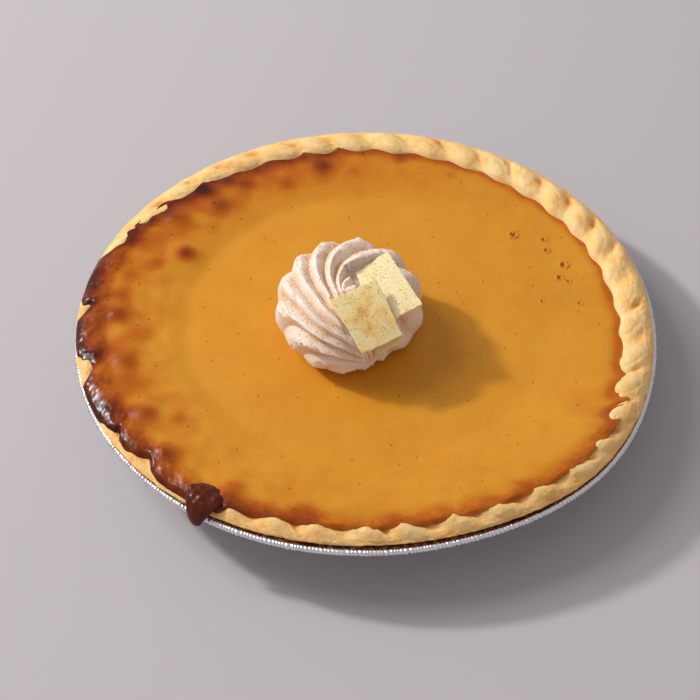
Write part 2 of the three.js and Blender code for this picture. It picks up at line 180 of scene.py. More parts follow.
# %% [markdown]
# A finish is a Principled shader with a few nodes before it. Colours are written as sRGB, as they are seen
# on a screen, and made linear once. Patterns read the place on the piece in metres, so their scale follows
# from the real size of a crumb or a crease.

# %% Helpers for colours, materials and nodes
def linear(hex_colour):
    """An sRGB colour such as d79032 as the linear values that a shader reads."""
    parts = [int(hex_colour[i:i + 2], 16) / 255 for i in (0, 2, 4)]
    return [c / 12.92 if c <= 0.04045 else ((c + 0.055) / 1.055) ** 2.4 for c in parts] + [1.0]


def add_node(tree, kind, inputs=None, **settings):
    """One node with its settings. An input is a value, or another node's output to link."""
    made = tree.nodes.new(kind)
    for name, value in settings.items():
        setattr(made, name, value)
    for name, value in (inputs or {}).items():
        if isinstance(value, bpy.types.NodeSocket):
            tree.links.new(value, made.inputs[name])
        else:
            made.inputs[name].default_value = value
    return made


def new_material(name, **surface):
    """A named material with one Principled shader, and that shader's socket values."""
    material = bpy.data.materials.new(name)
    material.use_nodes = True
    tree = material.node_tree
    shader = tree.nodes["Principled BSDF"]
    for socket, value in surface.items():
        shader.inputs[socket.replace("_", " ")].default_value = value
    return material, tree, shader


print("pumpkin orange d28d22 in linear light is", [round(part, 3) for part in linear("d28d22")[:3]])


# %% Helpers for patterns, sums, paint and roughness
def object_place(tree):
    """The place on the piece in metres, so that a pattern keeps its size on every piece."""
    return add_node(tree, "ShaderNodeTexCoord").outputs["Object"]


def mesh_value(tree, name):
    """A value that was worked out for each point of the mesh."""
    return add_node(tree, "ShaderNodeAttribute", attribute_name=name).outputs["Fac"]


def cloudy(tree, per_metre, detail, roughness=0.5):
    """Cloudy noise with so many lumps to the metre."""
    settings = {"Vector": object_place(tree), "Scale": per_metre, "Detail": detail, "Roughness": roughness}
    return add_node(tree, "ShaderNodeTexNoise", settings).outputs["Fac"]


def reckon(tree, operation, *values):
    """One sum or product of values."""
    return add_node(tree, "ShaderNodeMath", dict(enumerate(values)), operation=operation).outputs["Value"]


def ranged(tree, value, start, end):
    """A value moved from one range to another, and held at its ends."""
    settings = {"Value": value, "From Min": start[0], "From Max": start[1],
                "To Min": end[0], "To Max": end[1]}
    return add_node(tree, "ShaderNodeMapRange", settings).outputs["Result"]


def paint(tree, shader, value, stops):
    """Colours the surface by a ramp through (position, hex) stops."""
    made = add_node(tree, "ShaderNodeValToRGB", {"Fac": value})
    while len(made.color_ramp.elements) < len(stops):
        made.color_ramp.elements.new(0.5)
    for element, (position, colour) in zip(made.color_ramp.elements, stops):
        element.position = position
        element.color = linear(colour)
    tree.links.new(made.outputs["Color"], shader.inputs["Base Color"])


def roughen(tree, shader, pattern, strength, metres):
    """Bends the light as if the surface rose and fell with the pattern by so many metres."""
    made = add_node(tree, "ShaderNodeBump", {"Height": pattern, "Strength": strength, "Distance": metres})
    tree.links.new(made.outputs["Normal"], shader.inputs["Normal"])


print("a pattern with lumps of 4 mm needs a scale of", round(1 / (4 * MM)))

# %% [markdown]
# The crust is shortcrust pastry, rolled out, laid in the tin and pinched between fingers into flutes. Its
# cross-section at the rim is one smooth curve, given here by ten points as radius and height. Where it is
# pinched, the inner edge bulges into lobes and a crease runs between them, slanting a little round the pie.
# The sizes are those of the solid, so that both agree. A curve object could be bent into such a rim, but a
# formula for each point lets the filling and its film follow the same flutes. A place on the rim is
# therefore a station along the cross-section and a turn round the pie, and places such as LOW_LEFT below
# are an angle in degrees and how far to each side it is felt.

# %% The rim's cross-section and its flutes
RIM = np.array([(107.8, 15.5), (110.4, 22), (111.9, 26), (113.4, 29), (116, 31),
                (119.3, 31.6), (122.6, 30.9), (125.4, 29.2), (126.8, 27.9), (126.2, 27)])
TOP_STATION, LAST_STATION, RIM_MIDDLE = 4, 8, 118
FLUTES, FIRST_FLUTE, FLUTE_WANDER = 41, 4.8, 1.6
SLANT_PER_MM, SLANT_FROM = 3 / 8, 112
WEAK_FLUTES = {"back left": (0.82, 136, 38), "front right": (0.5, -28, 55)}
LOBE_PUSH, LOBE_LIFT, PINCH_DEPTH = 1.6, 0.6, 1.1
FRONT_DROP, LEFT_DROP, FRONT_SHRINK, LEFT_OVERHANG = 0.5, 1.2, 1.8, 0.7
LOW_FRONT, LOW_LEFT, NARROW_FRONT, WIDE_LEFT = (-90, 60), (185, 45), (-85, 60), (180, 75)


def chance(number):
    """A value from 0 to 1 that belongs to a number and never changes."""
    wave = np.sin(number * 127.1 + 3.7) * 43758.5453
    return wave - np.floor(wave)


def between_flutes(flute, offset):
    """A chance value for each flute, passing smoothly from one flute to the next."""
    low = np.floor(flute)
    share = smooth(flute - low, 0.25, 0.75)
    first, second = chance(low % FLUTES + offset), chance((low + 1) % FLUTES + offset)
    return first + (second - first) * share


def rim_section(station):
    """Radius and height of the plain rim: station -1 is on the inner wall and 8 under the outer edge."""
    along = np.clip(station + 1, 0, LAST_STATION + 1)
    k = np.minimum(along.astype(int), LAST_STATION)
    w = (along - k)[:, None]
    p0, p1 = RIM[np.maximum(k - 1, 0)], RIM[k]
    p2, p3 = RIM[k + 1], RIM[np.minimum(k + 2, LAST_STATION + 1)]
    v0, v1 = (p2 - p0) / 2, (p3 - p1) / 2
    spot = (2 * p1 - 2 * p2 + v0 + v1) * w**3 + (-3 * p1 + 3 * p2 - 2 * v0 - v1) * w**2 + v0 * w + p1
    return spot[:, 0], spot[:, 1]


def slanted(radius, turn):
    """The angle round the pie of a point whose turn was counted along a slanting flute."""
    return turn + np.radians(FIRST_FLUTE + SLANT_PER_MM * (np.maximum(radius, SLANT_FROM) - RIM_MIDDLE))


def rim_spot(station, turn, fluting=1.0):
    """Radius, angle and height on the rim. Fluting 0 gives the rim before it was pinched."""
    radius, height = rim_section(station)
    flute = turn / (2 * np.pi) * FLUTES
    on_rim = smooth(station, -1, 0.5)
    angle = slanted(radius, turn) + np.radians(FLUTE_WANDER * (between_flutes(flute, 60) - 0.5)) * on_rim
    lobe = 0.5 + 0.5 * np.cos(flute * 2 * np.pi)
    weaker = 1.0
    for loss, centre, width in WEAK_FLUTES.values():
        weaker = weaker * (1 - loss * bump(angle, centre, width))
    strength = weaker * (0.75 + 0.5 * between_flutes(flute, 0)) * fluting
    inner = smooth(station, -0.5, 1.5) * (1 - smooth(station, 2.5, 5))
    crown = smooth(station, 0.5, 2.5) * (1 - smooth(station, 4.5, 7))
    crease = smooth(station, 1.8, 3.4) * (1 - smooth(station, 4.2, 6))
    radius = radius - LOBE_PUSH * inner * lobe * strength
    radius = radius - FRONT_SHRINK * smooth(station, 3, 7) * bump(angle, *NARROW_FRONT)
    radius = radius + LEFT_OVERHANG * smooth(station, 4, 7) * bump(angle, *WIDE_LEFT)
    height = height + LOBE_LIFT * crown * (2 * lobe - 1) * strength
    height = height - PINCH_DEPTH * crease * (1 - lobe) ** 3 * strength
    height = height - crown * (FRONT_DROP * bump(angle, *LOW_FRONT) + LEFT_DROP * bump(angle, *LOW_LEFT))
    return radius, angle, height


def rim_point(station, turn, lift=0.0, fluting=1.0):
    """A point on the rim, or that far above it."""
    radius, angle, height = rim_spot(station, turn, fluting)
    r0, _, z0 = rim_spot(np.maximum(station - 0.1, -1), turn, fluting)
    r1, _, z1 = rim_spot(np.minimum(station + 0.1, LAST_STATION), turn, fluting)
    length = np.hypot(r1 - r0, z1 - z0)
    return polar(radius - (z1 - z0) / length * lift, angle, height + (r1 - r0) / length * lift)


print("flutes", FLUTES, "each", round(2 * math.pi * RIM_MIDDLE / FLUTES, 1), "mm wide")

# %% [markdown]
# The filling is pumpkin custard, and it boiled over the rim at the left. How far out it reaches is a value
# for each direction, counted in stations of the rim, so that the film follows the crust below it. Each pair
# is an angle and a station, read off the photograph, and a smooth step joins it to the next. Painting the
# film as a colour would be easier, but it would have no thickness and no rounded lip. This comes before the
# crust, because the crust is smooth where the filling covers it.

# %% How far the filling reaches, by direction
REACH = [(-177.3, 7.1), (-174, 6.6), (-171.5, 5.8), (-168.8, 4.8), (-167, 4.6), (-166, 5.3), (-164.8, 7),
         (-157.1, 7.1), (-153, 6), (-150.3, 5.6), (-148.8, 5), (-147.6, 5.7), (-145.2, 5.9), (-142, 5.4),
         (-139.2, 4.5), (-138, 5.7), (-136, 6.3), (-130, 6.3), (-122, 6), (-117.5, 4.8), (-107, 4.2),
         (-91, 4.1), (-66, 4), (-40, 3.8), (-20, 2.4), (-3, 1.7), (10, 1.2), (45, 1.2), (66, 1.5),
         (84, 1.8), (95, 2), (122, 2.1), (131, 2.6), (138, 2.7), (141, 2.9), (144, 3), (146, 3.3),
         (148, 3.1), (150, 3.7), (151.3, 4.9), (153.5, 4.4), (155.5, 4.2), (157, 5.2), (158.6, 6.9),
         (167, 7.1), (170.7, 7.1), (172.8, 6.2), (174.6, 4.9), (175.6, 5.6), (176.8, 7), (179.9, 7.1)]
HELD_BACK, RAN_OVER = 3.4, 4.4


def values_round(stops, angle):
    """Values given at a few angles, joined smoothly all the way round."""
    starts = np.array([s[0] for s in stops] + [stops[0][0] + 360], float)
    values = np.array([s[1] for s in stops] + [stops[0][1]], float)
    turned = (np.degrees(angle) - starts[0]) % 360 + starts[0]
    k = np.clip(np.searchsorted(starts, turned, side="right") - 1, 0, len(stops) - 1)
    return values[k] + (values[k + 1] - values[k]) * smooth(turned, starts[k], starts[k + 1])


def run_over(turn):
    """The reach along this flute, and how surely the filling ran over there, from 0 to 1."""
    plain = values_round(REACH, turn + np.radians(FIRST_FLUTE))
    return plain, smooth(plain, HELD_BACK, RAN_OVER)


print("reach goes from station", min(s for _, s in REACH), "to", max(s for _, s in REACH))

# %% [markdown]
# The filling set level in the middle and rose a little in a ring near the crust. At the left it dried to
# glossy domes and a dark film with one thick drip, and at the right a few bubbles burst. Its height is a
# formula too: a flat middle, a rise to the brim, a puffed ring that is strongest at the left, and the domes
# on top. Each blister is an angle, a distance from the middle, a width and a height. Each crater is an
# angle, a distance and a radius.

# %% The filling's level and its domes
BLISTERS = [(179, 110, 7, 2.2), (152.5, 91, 9, 1.6), (143.5, 108, 7, 1.4), (132.5, 100, 8, 1.5),
            (131, 110, 6, 1), (103, 101, 8, 0.9), (-166.5, 108, 8, 1.8), (-149, 109, 8, 1.6),
            (-137, 114, 7.5, 2.4), (-119, 111, 7, 1.2)]
CRATERS = [(37.6, 87.6, 1.7), (31.2, 97.2, 1.1), (27.2, 94.4, 1.2), (20.4, 96.8, 1.6), (16, 92, 1.3),
           (14, 95, 0.9), (5.2, 96.4, 0.8), (7.6, 80, 0.8)]
LEVEL, LEVEL_RADIUS = 27.4, 78
BRIM_LIFT, LEAST_BRIM_RADIUS = 0.4, 109
PUFF, PUFF_START, PUFF_TOP = 1.2, (78, 88), 92
PUFF_AWAY_FROM = 20


def domes(radius, angle, hills):
    """The summed height of round hills, each given as angle, distance from the middle, width and height."""
    height = np.zeros_like(radius)
    for centre, distance, width, lift in hills:
        across = distance * angle_between(angle, np.radians(centre))
        height += lift * np.exp(-2 * (across**2 + (radius - distance) ** 2) / width**2)
    return height


def leftward(angle):
    """From 0 at the right to 1 at the left, where the pie browned most."""
    return 0.5 - 0.5 * np.cos(angle - np.radians(PUFF_AWAY_FROM))


def level_height(radius, angle, turn):
    """The height of the filling at a place, if the crust didn't carry it."""
    brim_station = np.minimum(run_over(turn)[0], TOP_STATION)
    brim = rim_point(brim_station, turn, BRIM_LIFT, 0.0)
    brim_radius, brim_height = np.hypot(brim[:, 0], brim[:, 1]), brim[:, 2]
    rise = smooth(radius, LEVEL_RADIUS, np.maximum(brim_radius, LEAST_BRIM_RADIUS))
    ring_of_puff = smooth(radius, *PUFF_START) * (1 - smooth(radius, PUFF_TOP, brim_radius))
    puff = PUFF * leftward(angle) * ring_of_puff
    return LEVEL + (brim_height - LEVEL) * rise + puff + domes(radius, angle, BLISTERS)


print("level", LEVEL, "mm, blisters", len(BLISTERS), "craters", len(CRATERS))

# %% [markdown]
# The shoreline is the line along which the filling meets the crust. Drawn by hand it would never fit the
# flutes, so it is found here. In each direction a ladder of spots goes out over the crust, and the first
# spot that stands above the filling's level is the shore. Where the filling ran over, the reach takes its
# place. Away from the film, the edge of the mesh goes a little further and stays buried in the crust.

# %% The shoreline
SHORE_LADDER, LAST_SHORE = np.arange(0, 4.01, 0.08), 6.97
SHORE_WAVE, BURIED = 0.15, 0.6
EDGE_SEARCH, EDGE_STEPS, FAR = 3.6, 19, 99.0
stations = np.linspace(-1, 7, 161)
station_radius = rim_section(stations)[0]


def shoreline(turns):
    """The station at which the filling meets the crust, for each turn."""
    rungs = len(SHORE_LADDER)
    all_turns, all_stations = np.repeat(turns, rungs), np.tile(SHORE_LADDER, len(turns))
    crust_spots = rim_point(all_stations, all_turns)
    spot_radius = np.hypot(crust_spots[:, 0], crust_spots[:, 1])
    level = level_height(spot_radius, np.arctan2(crust_spots[:, 1], crust_spots[:, 0]), all_turns)
    dry = (crust_spots[:, 2] > level).reshape(len(turns), rungs)
    contact = np.where(dry.any(1), SHORE_LADDER[dry.argmax(1)], TOP_STATION)
    all_round = np.r_[contact[-6:-1], contact, contact[1:6]]
    contact = np.convolve(all_round, np.hanning(13)[1:-1] / 6, "valid")
    plain, ran_over = run_over(turns)
    wavy = SHORE_WAVE * lumps(polar(60 * np.ones_like(turns), turns, 0 * turns), 4, 5)
    return np.minimum(contact + (plain + wavy - contact) * ran_over, LAST_SHORE)


TURNS = np.linspace(-np.pi, np.pi, FLUTES * 36 + 1)
SHORE = shoreline(TURNS)
WET = SHORE + BURIED * (1 - run_over(TURNS)[1])


def to_edge_of(edge, along, turn):
    """How far a point is from an edge that is given as a station for each turn, in millimetres."""
    edge_radius = np.interp(edge, stations, station_radius)
    nearest = np.full(len(along), FAR)
    for step in np.linspace(-EDGE_SEARCH, EDGE_SEARCH, EDGE_STEPS):
        there = np.interp(turn + step / RIM_MIDDLE, TURNS, edge_radius, period=2 * np.pi)
        nearest = np.minimum(nearest, np.hypot(there - along, step))
    straight = np.interp(turn, TURNS, edge_radius, period=2 * np.pi) - along
    return np.where(straight > EDGE_SEARCH, straight, np.minimum(nearest, np.maximum(straight, 0)))


print("shoreline between stations", round(SHORE.min(), 2), "and", round(SHORE.max(), 2))

# %% [markdown]
# Baked shortcrust is matt and pale gold, a little darker where it stands out, with painted shade where it
# folds. Its skin is never smooth: flakes of a few millimetres and grains of flour under one millimetre
# break the light. The larger flakes are moved in the mesh, and the finest grain is left to the material's
# bump. Browned patches are about 7 mm across, freckles 1.1 mm and flour 0.7 mm, which are noise scales of
# 140, 900 and 1500 a metre. Fat and juice made the crust shine beside the filling, so the attribute moist
# lowers the roughness there.

# %% The crust's material
crust_finish, tree, shader = new_material("baked_shortcrust", IOR=1.45,
                                          Subsurface_Weight=0.12, Subsurface_Scale=0.002)
shader.inputs["Subsurface Radius"].default_value = (1.0, 0.5, 0.2)
browned_and_shaded = reckon(tree, "MULTIPLY_ADD", cloudy(tree, 140, 5, 0.6), 0.55, mesh_value(tree, "toast_and_shade"))
browned_and_shaded = reckon(tree, "MULTIPLY_ADD", cloudy(tree, 900, 3), 0.18, browned_and_shaded)
paint(tree, shader, browned_and_shaded, [(0.12, "ffe6b0"), (0.36, "ffd388"), (0.54, "fabb6a"),
                              (0.74, "dc9440"), (0.92, "a0602a"), (1.0, "643612")])
sheen = ranged(tree, mesh_value(tree, "moist"), (0, 1), (0.62, 0.3))
tree.links.new(sheen, shader.inputs["Roughness"])
roughen(tree, shader, cloudy(tree, 1500, 4, 0.65), 0.85, 0.0006)
print("finish", crust_finish.name)

# %% [markdown]
# The crust is one closed shell: over the floor under the filling, up the wall, over the rim and down the
# outside of the wall. Only the rim shows, so only the rim gets fine rings. The hidden rings are given as
# the ring's number, its radius and its height.

# %% The crust as a closed shell
CRUST_FLOOR, CRUST_THICKNESS = 0.95, 3
FLOOR_TOP = CRUST_FLOOR + CRUST_THICKNESS
COARSE_TURN = FLUTES * 12
WALL_RING, RIM_RING, RING_STEP = 19, 20, 0.32
CRUST_HIDDEN = {0: (0, FLOOR_TOP), 2: (97, FLOOR_TOP), 6: (101.5, 6.2), 34: (123.2, 26), 36: (117.7, 25.9),
                38: (116.85, 24.6), 40: (102.25, 2.5), 42: (99.2, CRUST_FLOOR), 44: (0, CRUST_FLOOR)}
rim_rings = [RIM_RING + RING_STEP * i for i in range(0, 26)]
crust_mesh = flat_map(sorted([*CRUST_HIDDEN, WALL_RING, *rim_rings]), COARSE_TURN)
refine(crust_mesh, lambda spot: RIM_RING <= spot.x <= rim_rings[-1])
ring, turn = rings_and_turns(crust_mesh)
station = np.clip(ring - RIM_RING, -1, LAST_STATION)
on_rim = (ring > WALL_RING - 0.5) & (ring < rim_rings[-1] + 0.1)
hidden_radii, hidden_heights = np.array(list(CRUST_HIDDEN.values())).T
plain_radius = np.interp(ring, list(CRUST_HIDDEN), hidden_radii)
plain_height = np.interp(ring, list(CRUST_HIDDEN), hidden_heights)
plain = polar(plain_radius, slanted(plain_radius, turn), plain_height)
places = np.where(on_rim[:, None], rim_point(station, turn), plain)
print("points on the rim", int(on_rim.sum()), "of", len(ring))

# %% [markdown]
# Pinching leaves more than flutes. Flakes lift from the skin, layers show on the outer side, a knob of
# dough stands at the shoreline in each flute with a groove round it, and a fingertip left a dimple in some
# creases. All of this could be sculpted by hand, but as sums of noise and small bumps each part can be
# turned up or down alone. Each flake is a height, a size and a seed.

# %% The crust's flakes
FLAKES = [(0.34, 5.5, 0), (0.24, 2.2, 7), (0.2, 1.1, 3)]
SLIVER_HEIGHT, LAYER_HEIGHT = 0.3, 0.28
flute = turn / (2 * np.pi) * FLUTES
shore = np.interp(turn, TURNS, SHORE)
side = smooth(station, 5, 7)
flake = sum(height * lumps(places, size, seed) for height, size, seed in FLAKES)
slivers = np.stack([turn * 30, places[:, 2] * 0.8, station * 1.4], -1)
layers = np.stack([turn * 9, places[:, 2] * 1.6, station * 0.7], -1)
flake = flake + SLIVER_HEIGHT * np.abs(lumps(slivers, 1.0, 5))
flake = flake + LAYER_HEIGHT * lumps(layers, 1.0, 11) * side
print("flakes from", round(float(flake.min()), 2), "to", round(float(flake.max()), 2), "mm")

# %% Its knobs and dimples
KNOB_SIZE, KNOB_VARIES, KNOB_RADIUS, KNOB_MM_PER_STATION = 3.4, 1.2, 117, 2.6
KNOB_AWAY, KNOB_STRAYS, KNOB_HEIGHT, KNOB_GROOVE = 0.8, 0.3, 0.75, 0.5
DIMPLE_STATION, DIMPLE_RADIUS, DIMPLE_MM_PER_STATION = 4.5, 119, 2.8
DIMPLE_SIZE, DIMPLE_DEPTH = 2.1, 1.1
own_flute, next_crease = np.rint(flute) % FLUTES, np.floor(flute) % FLUTES
sideways = (flute - np.rint(flute)) * 2 * np.pi * KNOB_RADIUS / FLUTES
outward_from_knob = station - shore - KNOB_AWAY - KNOB_STRAYS * chance(own_flute + 30)
from_knob = np.hypot(sideways, outward_from_knob * KNOB_MM_PER_STATION)
from_knob = from_knob / (KNOB_SIZE + KNOB_VARIES * chance(own_flute + 20))
knob = KNOB_HEIGHT * np.clip(1 - from_knob**2, 0, 1)
knob = knob - KNOB_GROOVE * np.exp(-((from_knob - 1.18) / 0.13) ** 2)
shown = (0.35 + 0.65 * chance(own_flute + 40)) * (0.4 + 0.45 * bump(turn, -50, 70))
across = (0.5 - np.abs(flute - np.rint(flute))) * 2 * np.pi * DIMPLE_RADIUS / FLUTES
from_dimple = np.hypot(across, (station - DIMPLE_STATION) * DIMPLE_MM_PER_STATION) / DIMPLE_SIZE
dimple = np.exp(-from_dimple**2) * chance(next_crease + 50)
flake = flake - DIMPLE_DEPTH * dimple + shown * knob
print("deepest dimple", round(float(dimple.max()) * DIMPLE_DEPTH, 2), "mm")

# %% [markdown]
# On top the relief goes upward, and on the outer side it goes outward, so that no flake leans over. Where
# the filling covers the crust it fades, so that the film lies on a smooth bed. The colour value at each
# point mixes baked browning, darker on the outer side and in patches, with painted shade, darker in the
# creases and in the dimples. It is also darker under the outer edge, and paler near the filling, partly
# for the wetter dough there and partly as painted light on the shaded inner face.

# %% Put the relief on the crust and finish it
covered = smooth(shore - station, -0.1, 0.35)
showing = smooth(station, 0, 1.2) * on_rim * (1 - 0.85 * covered)
away = places / np.maximum(np.hypot(places[:, 0], places[:, 1]), 1)[:, None]
outward = np.stack([away[:, 0] * side, away[:, 1] * side, 1 - 0.8 * side], -1)
places = places + outward * (flake * showing)[:, None]
lobe = 0.5 + 0.5 * np.cos(flute * 2 * np.pi)
# painted shade darkens the creases between lobes and the dimples; the paler band near the filling is partly
# wetter dough and partly painted light
browning_and_shade = 0.1 * side + 0.06 * (1 - lobe) * smooth(station, 2, 4) * (1 - side) + 0.09 * lumps(places, 14, 5)
browning_and_shade = browning_and_shade + 0.25 * smooth(station, 7.2, 8) + 0.25 * dimple - 0.08 * (1 - smooth(station, 1.5, 3.5))
browning_and_shade = np.where(on_rim, browning_and_shade, 0.3)
moist = (1 - smooth(station, 1.6, 3)) * smooth(lumps(places, 5, 8), -0.2, 0.5)
lay(crust_mesh, out_of_round(places))
crust = to_piece("pie_crust", crust_mesh, crust_finish, {"toast_and_shade": browning_and_shade, "moist": moist})
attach(crust, "root")
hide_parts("crust")

# %% [markdown]
# Baked custard is satiny and slightly translucent. Where it boiled, sugar caramelised: the colour runs from
# pumpkin orange through reddish brown to almost black, and the skin turns glossy. One value for each point
# of the mesh drives colour and gloss together. It holds that scorch, and painted shade in the burst
# bubbles, and it is worked out from the distance to the edge of the filling, the domes and a little noise.
# Clouds of 22 mm and specks of 2.4 mm keep the orange from looking like paint, and pores of 1.4 mm soften
# its gloss. Tiny pinholes, where steam came out, are painted shade: dark dots of about 1 mm from a cell
# pattern seen from above, standing in for the holes.

# %% The filling's material
custard_finish, tree, shader = new_material("baked_pumpkin_custard", IOR=1.45, Subsurface_Weight=0.2,
                                            Subsurface_Scale=0.003, Specular_IOR_Level=0.3)
shader.inputs["Subsurface Radius"].default_value = (1.0, 0.45, 0.15)
PINHOLES_PER_METRE, PINHOLE_EDGE_MM = 48, (0.25, 0.625)
shade = reckon(tree, "MULTIPLY_ADD", cloudy(tree, 45, 4, 0.55), 0.2, mesh_value(tree, "scorch_and_shade"))
shade = reckon(tree, "MULTIPLY_ADD", cloudy(tree, 420, 4, 0.6), 0.13, shade)
cells = add_node(tree, "ShaderNodeTexVoronoi", {"Vector": object_place(tree), "Scale": PINHOLES_PER_METRE},
                 voronoi_dimensions="2D").outputs["Distance"]
# painted shade: dark dots stand in for the pinholes, which have no depth in the mesh
pinhole_shade = ranged(tree, cells, [edge * MM * PINHOLES_PER_METRE for edge in PINHOLE_EDGE_MM], (0.3, 0))
shade = reckon(tree, "ADD", shade, pinhole_shade)
paint(tree, shader, shade, [(0.08, "db992b"), (0.2, "d28d22"), (0.32, "c87c18"),
                            (0.4, "bd660a"), (0.58, "a04a04"), (0.8, "762c02"), (1.0, "400e02")])
tree.links.new(ranged(tree, shade, (0.1, 0.7), (0.46, 0.27)), shader.inputs["Roughness"])
roughen(tree, shader, cloudy(tree, 700, 3, 0.6), 0.18, 0.0003)
print("finish", custard_finish.name)

# %% [markdown]
# The disc of the filling has three stretches: the level middle, the part from there to the wet edge, and
# the hidden underside that goes back over the rim and down to the floor of the crust. A poured liquid could
# be simulated, but that is slow and hard to steer, so the grid is given a ring for each place that matters.
# The rings lie closer together at the edge and round the burst bubbles.

# %% The filling's grid
EDGE_RING, TURN_RING, POOL_START, CROWDING = 100, 160, 100, 1.25
LEVEL_RINGS = [0, 3, 7, 12, 18, 24, 30, 36, 42, 47, 52, 56, 60, 64, 67.5, 70.5, 73.5, 76]
outer_rings = [78 + 1.2 * i for i in range(19)] + [EDGE_RING + 2.6087 * i for i in range(24)]
filling_mesh = flat_map(LEVEL_RINGS + outer_rings + [164, 172, 185, 200, 210, 220, 230], COARSE_TURN)


def near_crater(spot):
    """Whether a spot of the flat map is close to a burst bubble."""
    for centre, distance, width in CRATERS:
        aside = distance * (spot.y - math.radians(centre - 2.55))
        if math.hypot(spot.x - distance, aside) < 2.2 * width:
            return True
    return False


refine(filling_mesh, lambda spot: 78 <= spot.x <= 161)
refine(filling_mesh, near_crater, 2)
ring, turn = rings_and_turns(filling_mesh)
ran_over = run_over(turn)[1]
wet = np.interp(turn, TURNS, WET)
wet_radius = np.interp(wet, stations, station_radius)
share = np.where(ring <= TURN_RING, (ring - EDGE_RING) / 60, 1 - (ring - TURN_RING) / 40)
share = np.clip(share, 0, 1)
share = np.where(ring <= TURN_RING, 1 - (1 - share) ** CROWDING, share)
along = np.where(ring < EDGE_RING, ring, POOL_START + (wet_radius - POOL_START) * share)
station = np.interp(along, station_radius, stations)
to_edge = to_edge_of(WET, along, turn)
print("points of the filling", len(ring), "out to radius", round(float(along.max()), 1), "mm")

# %% [markdown]
# Where the filling ran over, it is a film about 0.8 mm thick that rests on the crust, evens out the flutes
# and ends in a rounded lip. Elsewhere it stays level and its edge goes a little way into the soft crust, so
# that the flutes and knobs of the crust draw the shoreline themselves. The two are joined by a soft
# maximum, which takes the higher of two heights and rounds off the corner between them.

# %% Lay the filling's top
FILM, SKIN_GAP, LIP = 1.0, 0.08, 2.2
FILM_FLUTING, LEVELLED_FLUTING, SHARPNESS = 0.3, 0.15, 2.5
thick = FILM * (0.3 + 0.5 * ran_over) * (1 + 0.25 * lumps(polar(along, turn, 0 * along), 4, 2))
film = thick * np.sqrt(np.clip(1 - (1 - np.clip(to_edge / LIP, 0, 1)) ** 2, 0, 1))
on_rim = rim_point(station, turn, SKIN_GAP + film)
plainer = rim_point(station, turn, SKIN_GAP + film, FILM_FLUTING)
on_rim = on_rim + (plainer - on_rim) * (ran_over * smooth(to_edge, 0, 2.5))[:, None]
levelled = rim_point(station, turn, SKIN_GAP + film, LEVELLED_FLUTING)[:, 2] + 0.25 * smooth(to_edge, 0, 3)
angle_rim, radius_rim = np.arctan2(on_rim[:, 1], on_rim[:, 0]), np.hypot(on_rim[:, 0], on_rim[:, 1])
level_angle = slanted(along, turn)
pool = polar(along, level_angle, level_height(along, level_angle, turn))
rim_level = level_height(radius_rim, angle_rim, turn)
inner_level = np.where(station < TOP_STATION, rim_level, -9)
higher = np.logaddexp(SHARPNESS * on_rim[:, 2], SHARPNESS * inner_level) / SHARPNESS
higher = np.where(station > TOP_STATION - 1.5, np.maximum(higher, levelled), higher)
near_edge = smooth(to_edge, 0, 2)
on_rim[:, 2] += (np.maximum(higher, on_rim[:, 2]) - on_rim[:, 2]) * near_edge
on_rim[:, 2] = rim_level + (on_rim[:, 2] - rim_level) * ran_over
blend = smooth(along, 105, 111)[:, None]
top = pool * (1 - blend) + on_rim * blend
print("film up to", round(float(film.max()), 2), "mm thick")

# %% [markdown]
# The underside is never seen, but it closes the mesh. It goes back over the rim a hair above the crust,
# sinks away where the filling is level, and then follows the wall down to the floor of the crust.

# %% Lay the filling's underside
SINK, DEEP_RING = 0.35, 205
DEEP = [(DEEP_RING, 107, 15.5), (210, 101.2, 6.9), (220, 96.8, FLOOR_TOP + 0.4), (230, 0, FLOOR_TOP + 0.4)]
under = rim_point(np.where(ring > DEEP_RING, -1, station), turn, SKIN_GAP)
under[:, 2] -= np.maximum(under[:, 2] - rim_level + SINK, 0) * (1 - ran_over)
deep_rings, deep_radii, deep_heights = np.array(DEEP).T
deep_radius = np.interp(ring, deep_rings, deep_radii)
deep = polar(deep_radius, slanted(deep_radius, turn), np.interp(ring, deep_rings, deep_heights))
places = np.where((ring < DEEP_RING)[:, None], under, deep)
places = np.where((ring <= TURN_RING + 0.5)[:, None], top, places)
radius = np.hypot(places[:, 0], places[:, 1])
angle = np.arctan2(places[:, 1], places[:, 0])
upper = ring <= TURN_RING - 1.5
print("the filling is", round(float(places[:, 2].max() - places[:, 2].min()), 1), "mm from bottom to top")

# %% [markdown]
# Small relief comes next: slow swells over the middle, and a pebbled skin of burst bubbles of 2 to 3 mm
# where the filling boiled over. A burst bubble is a low rim round a pit, and painted shade darkens its
# inside.

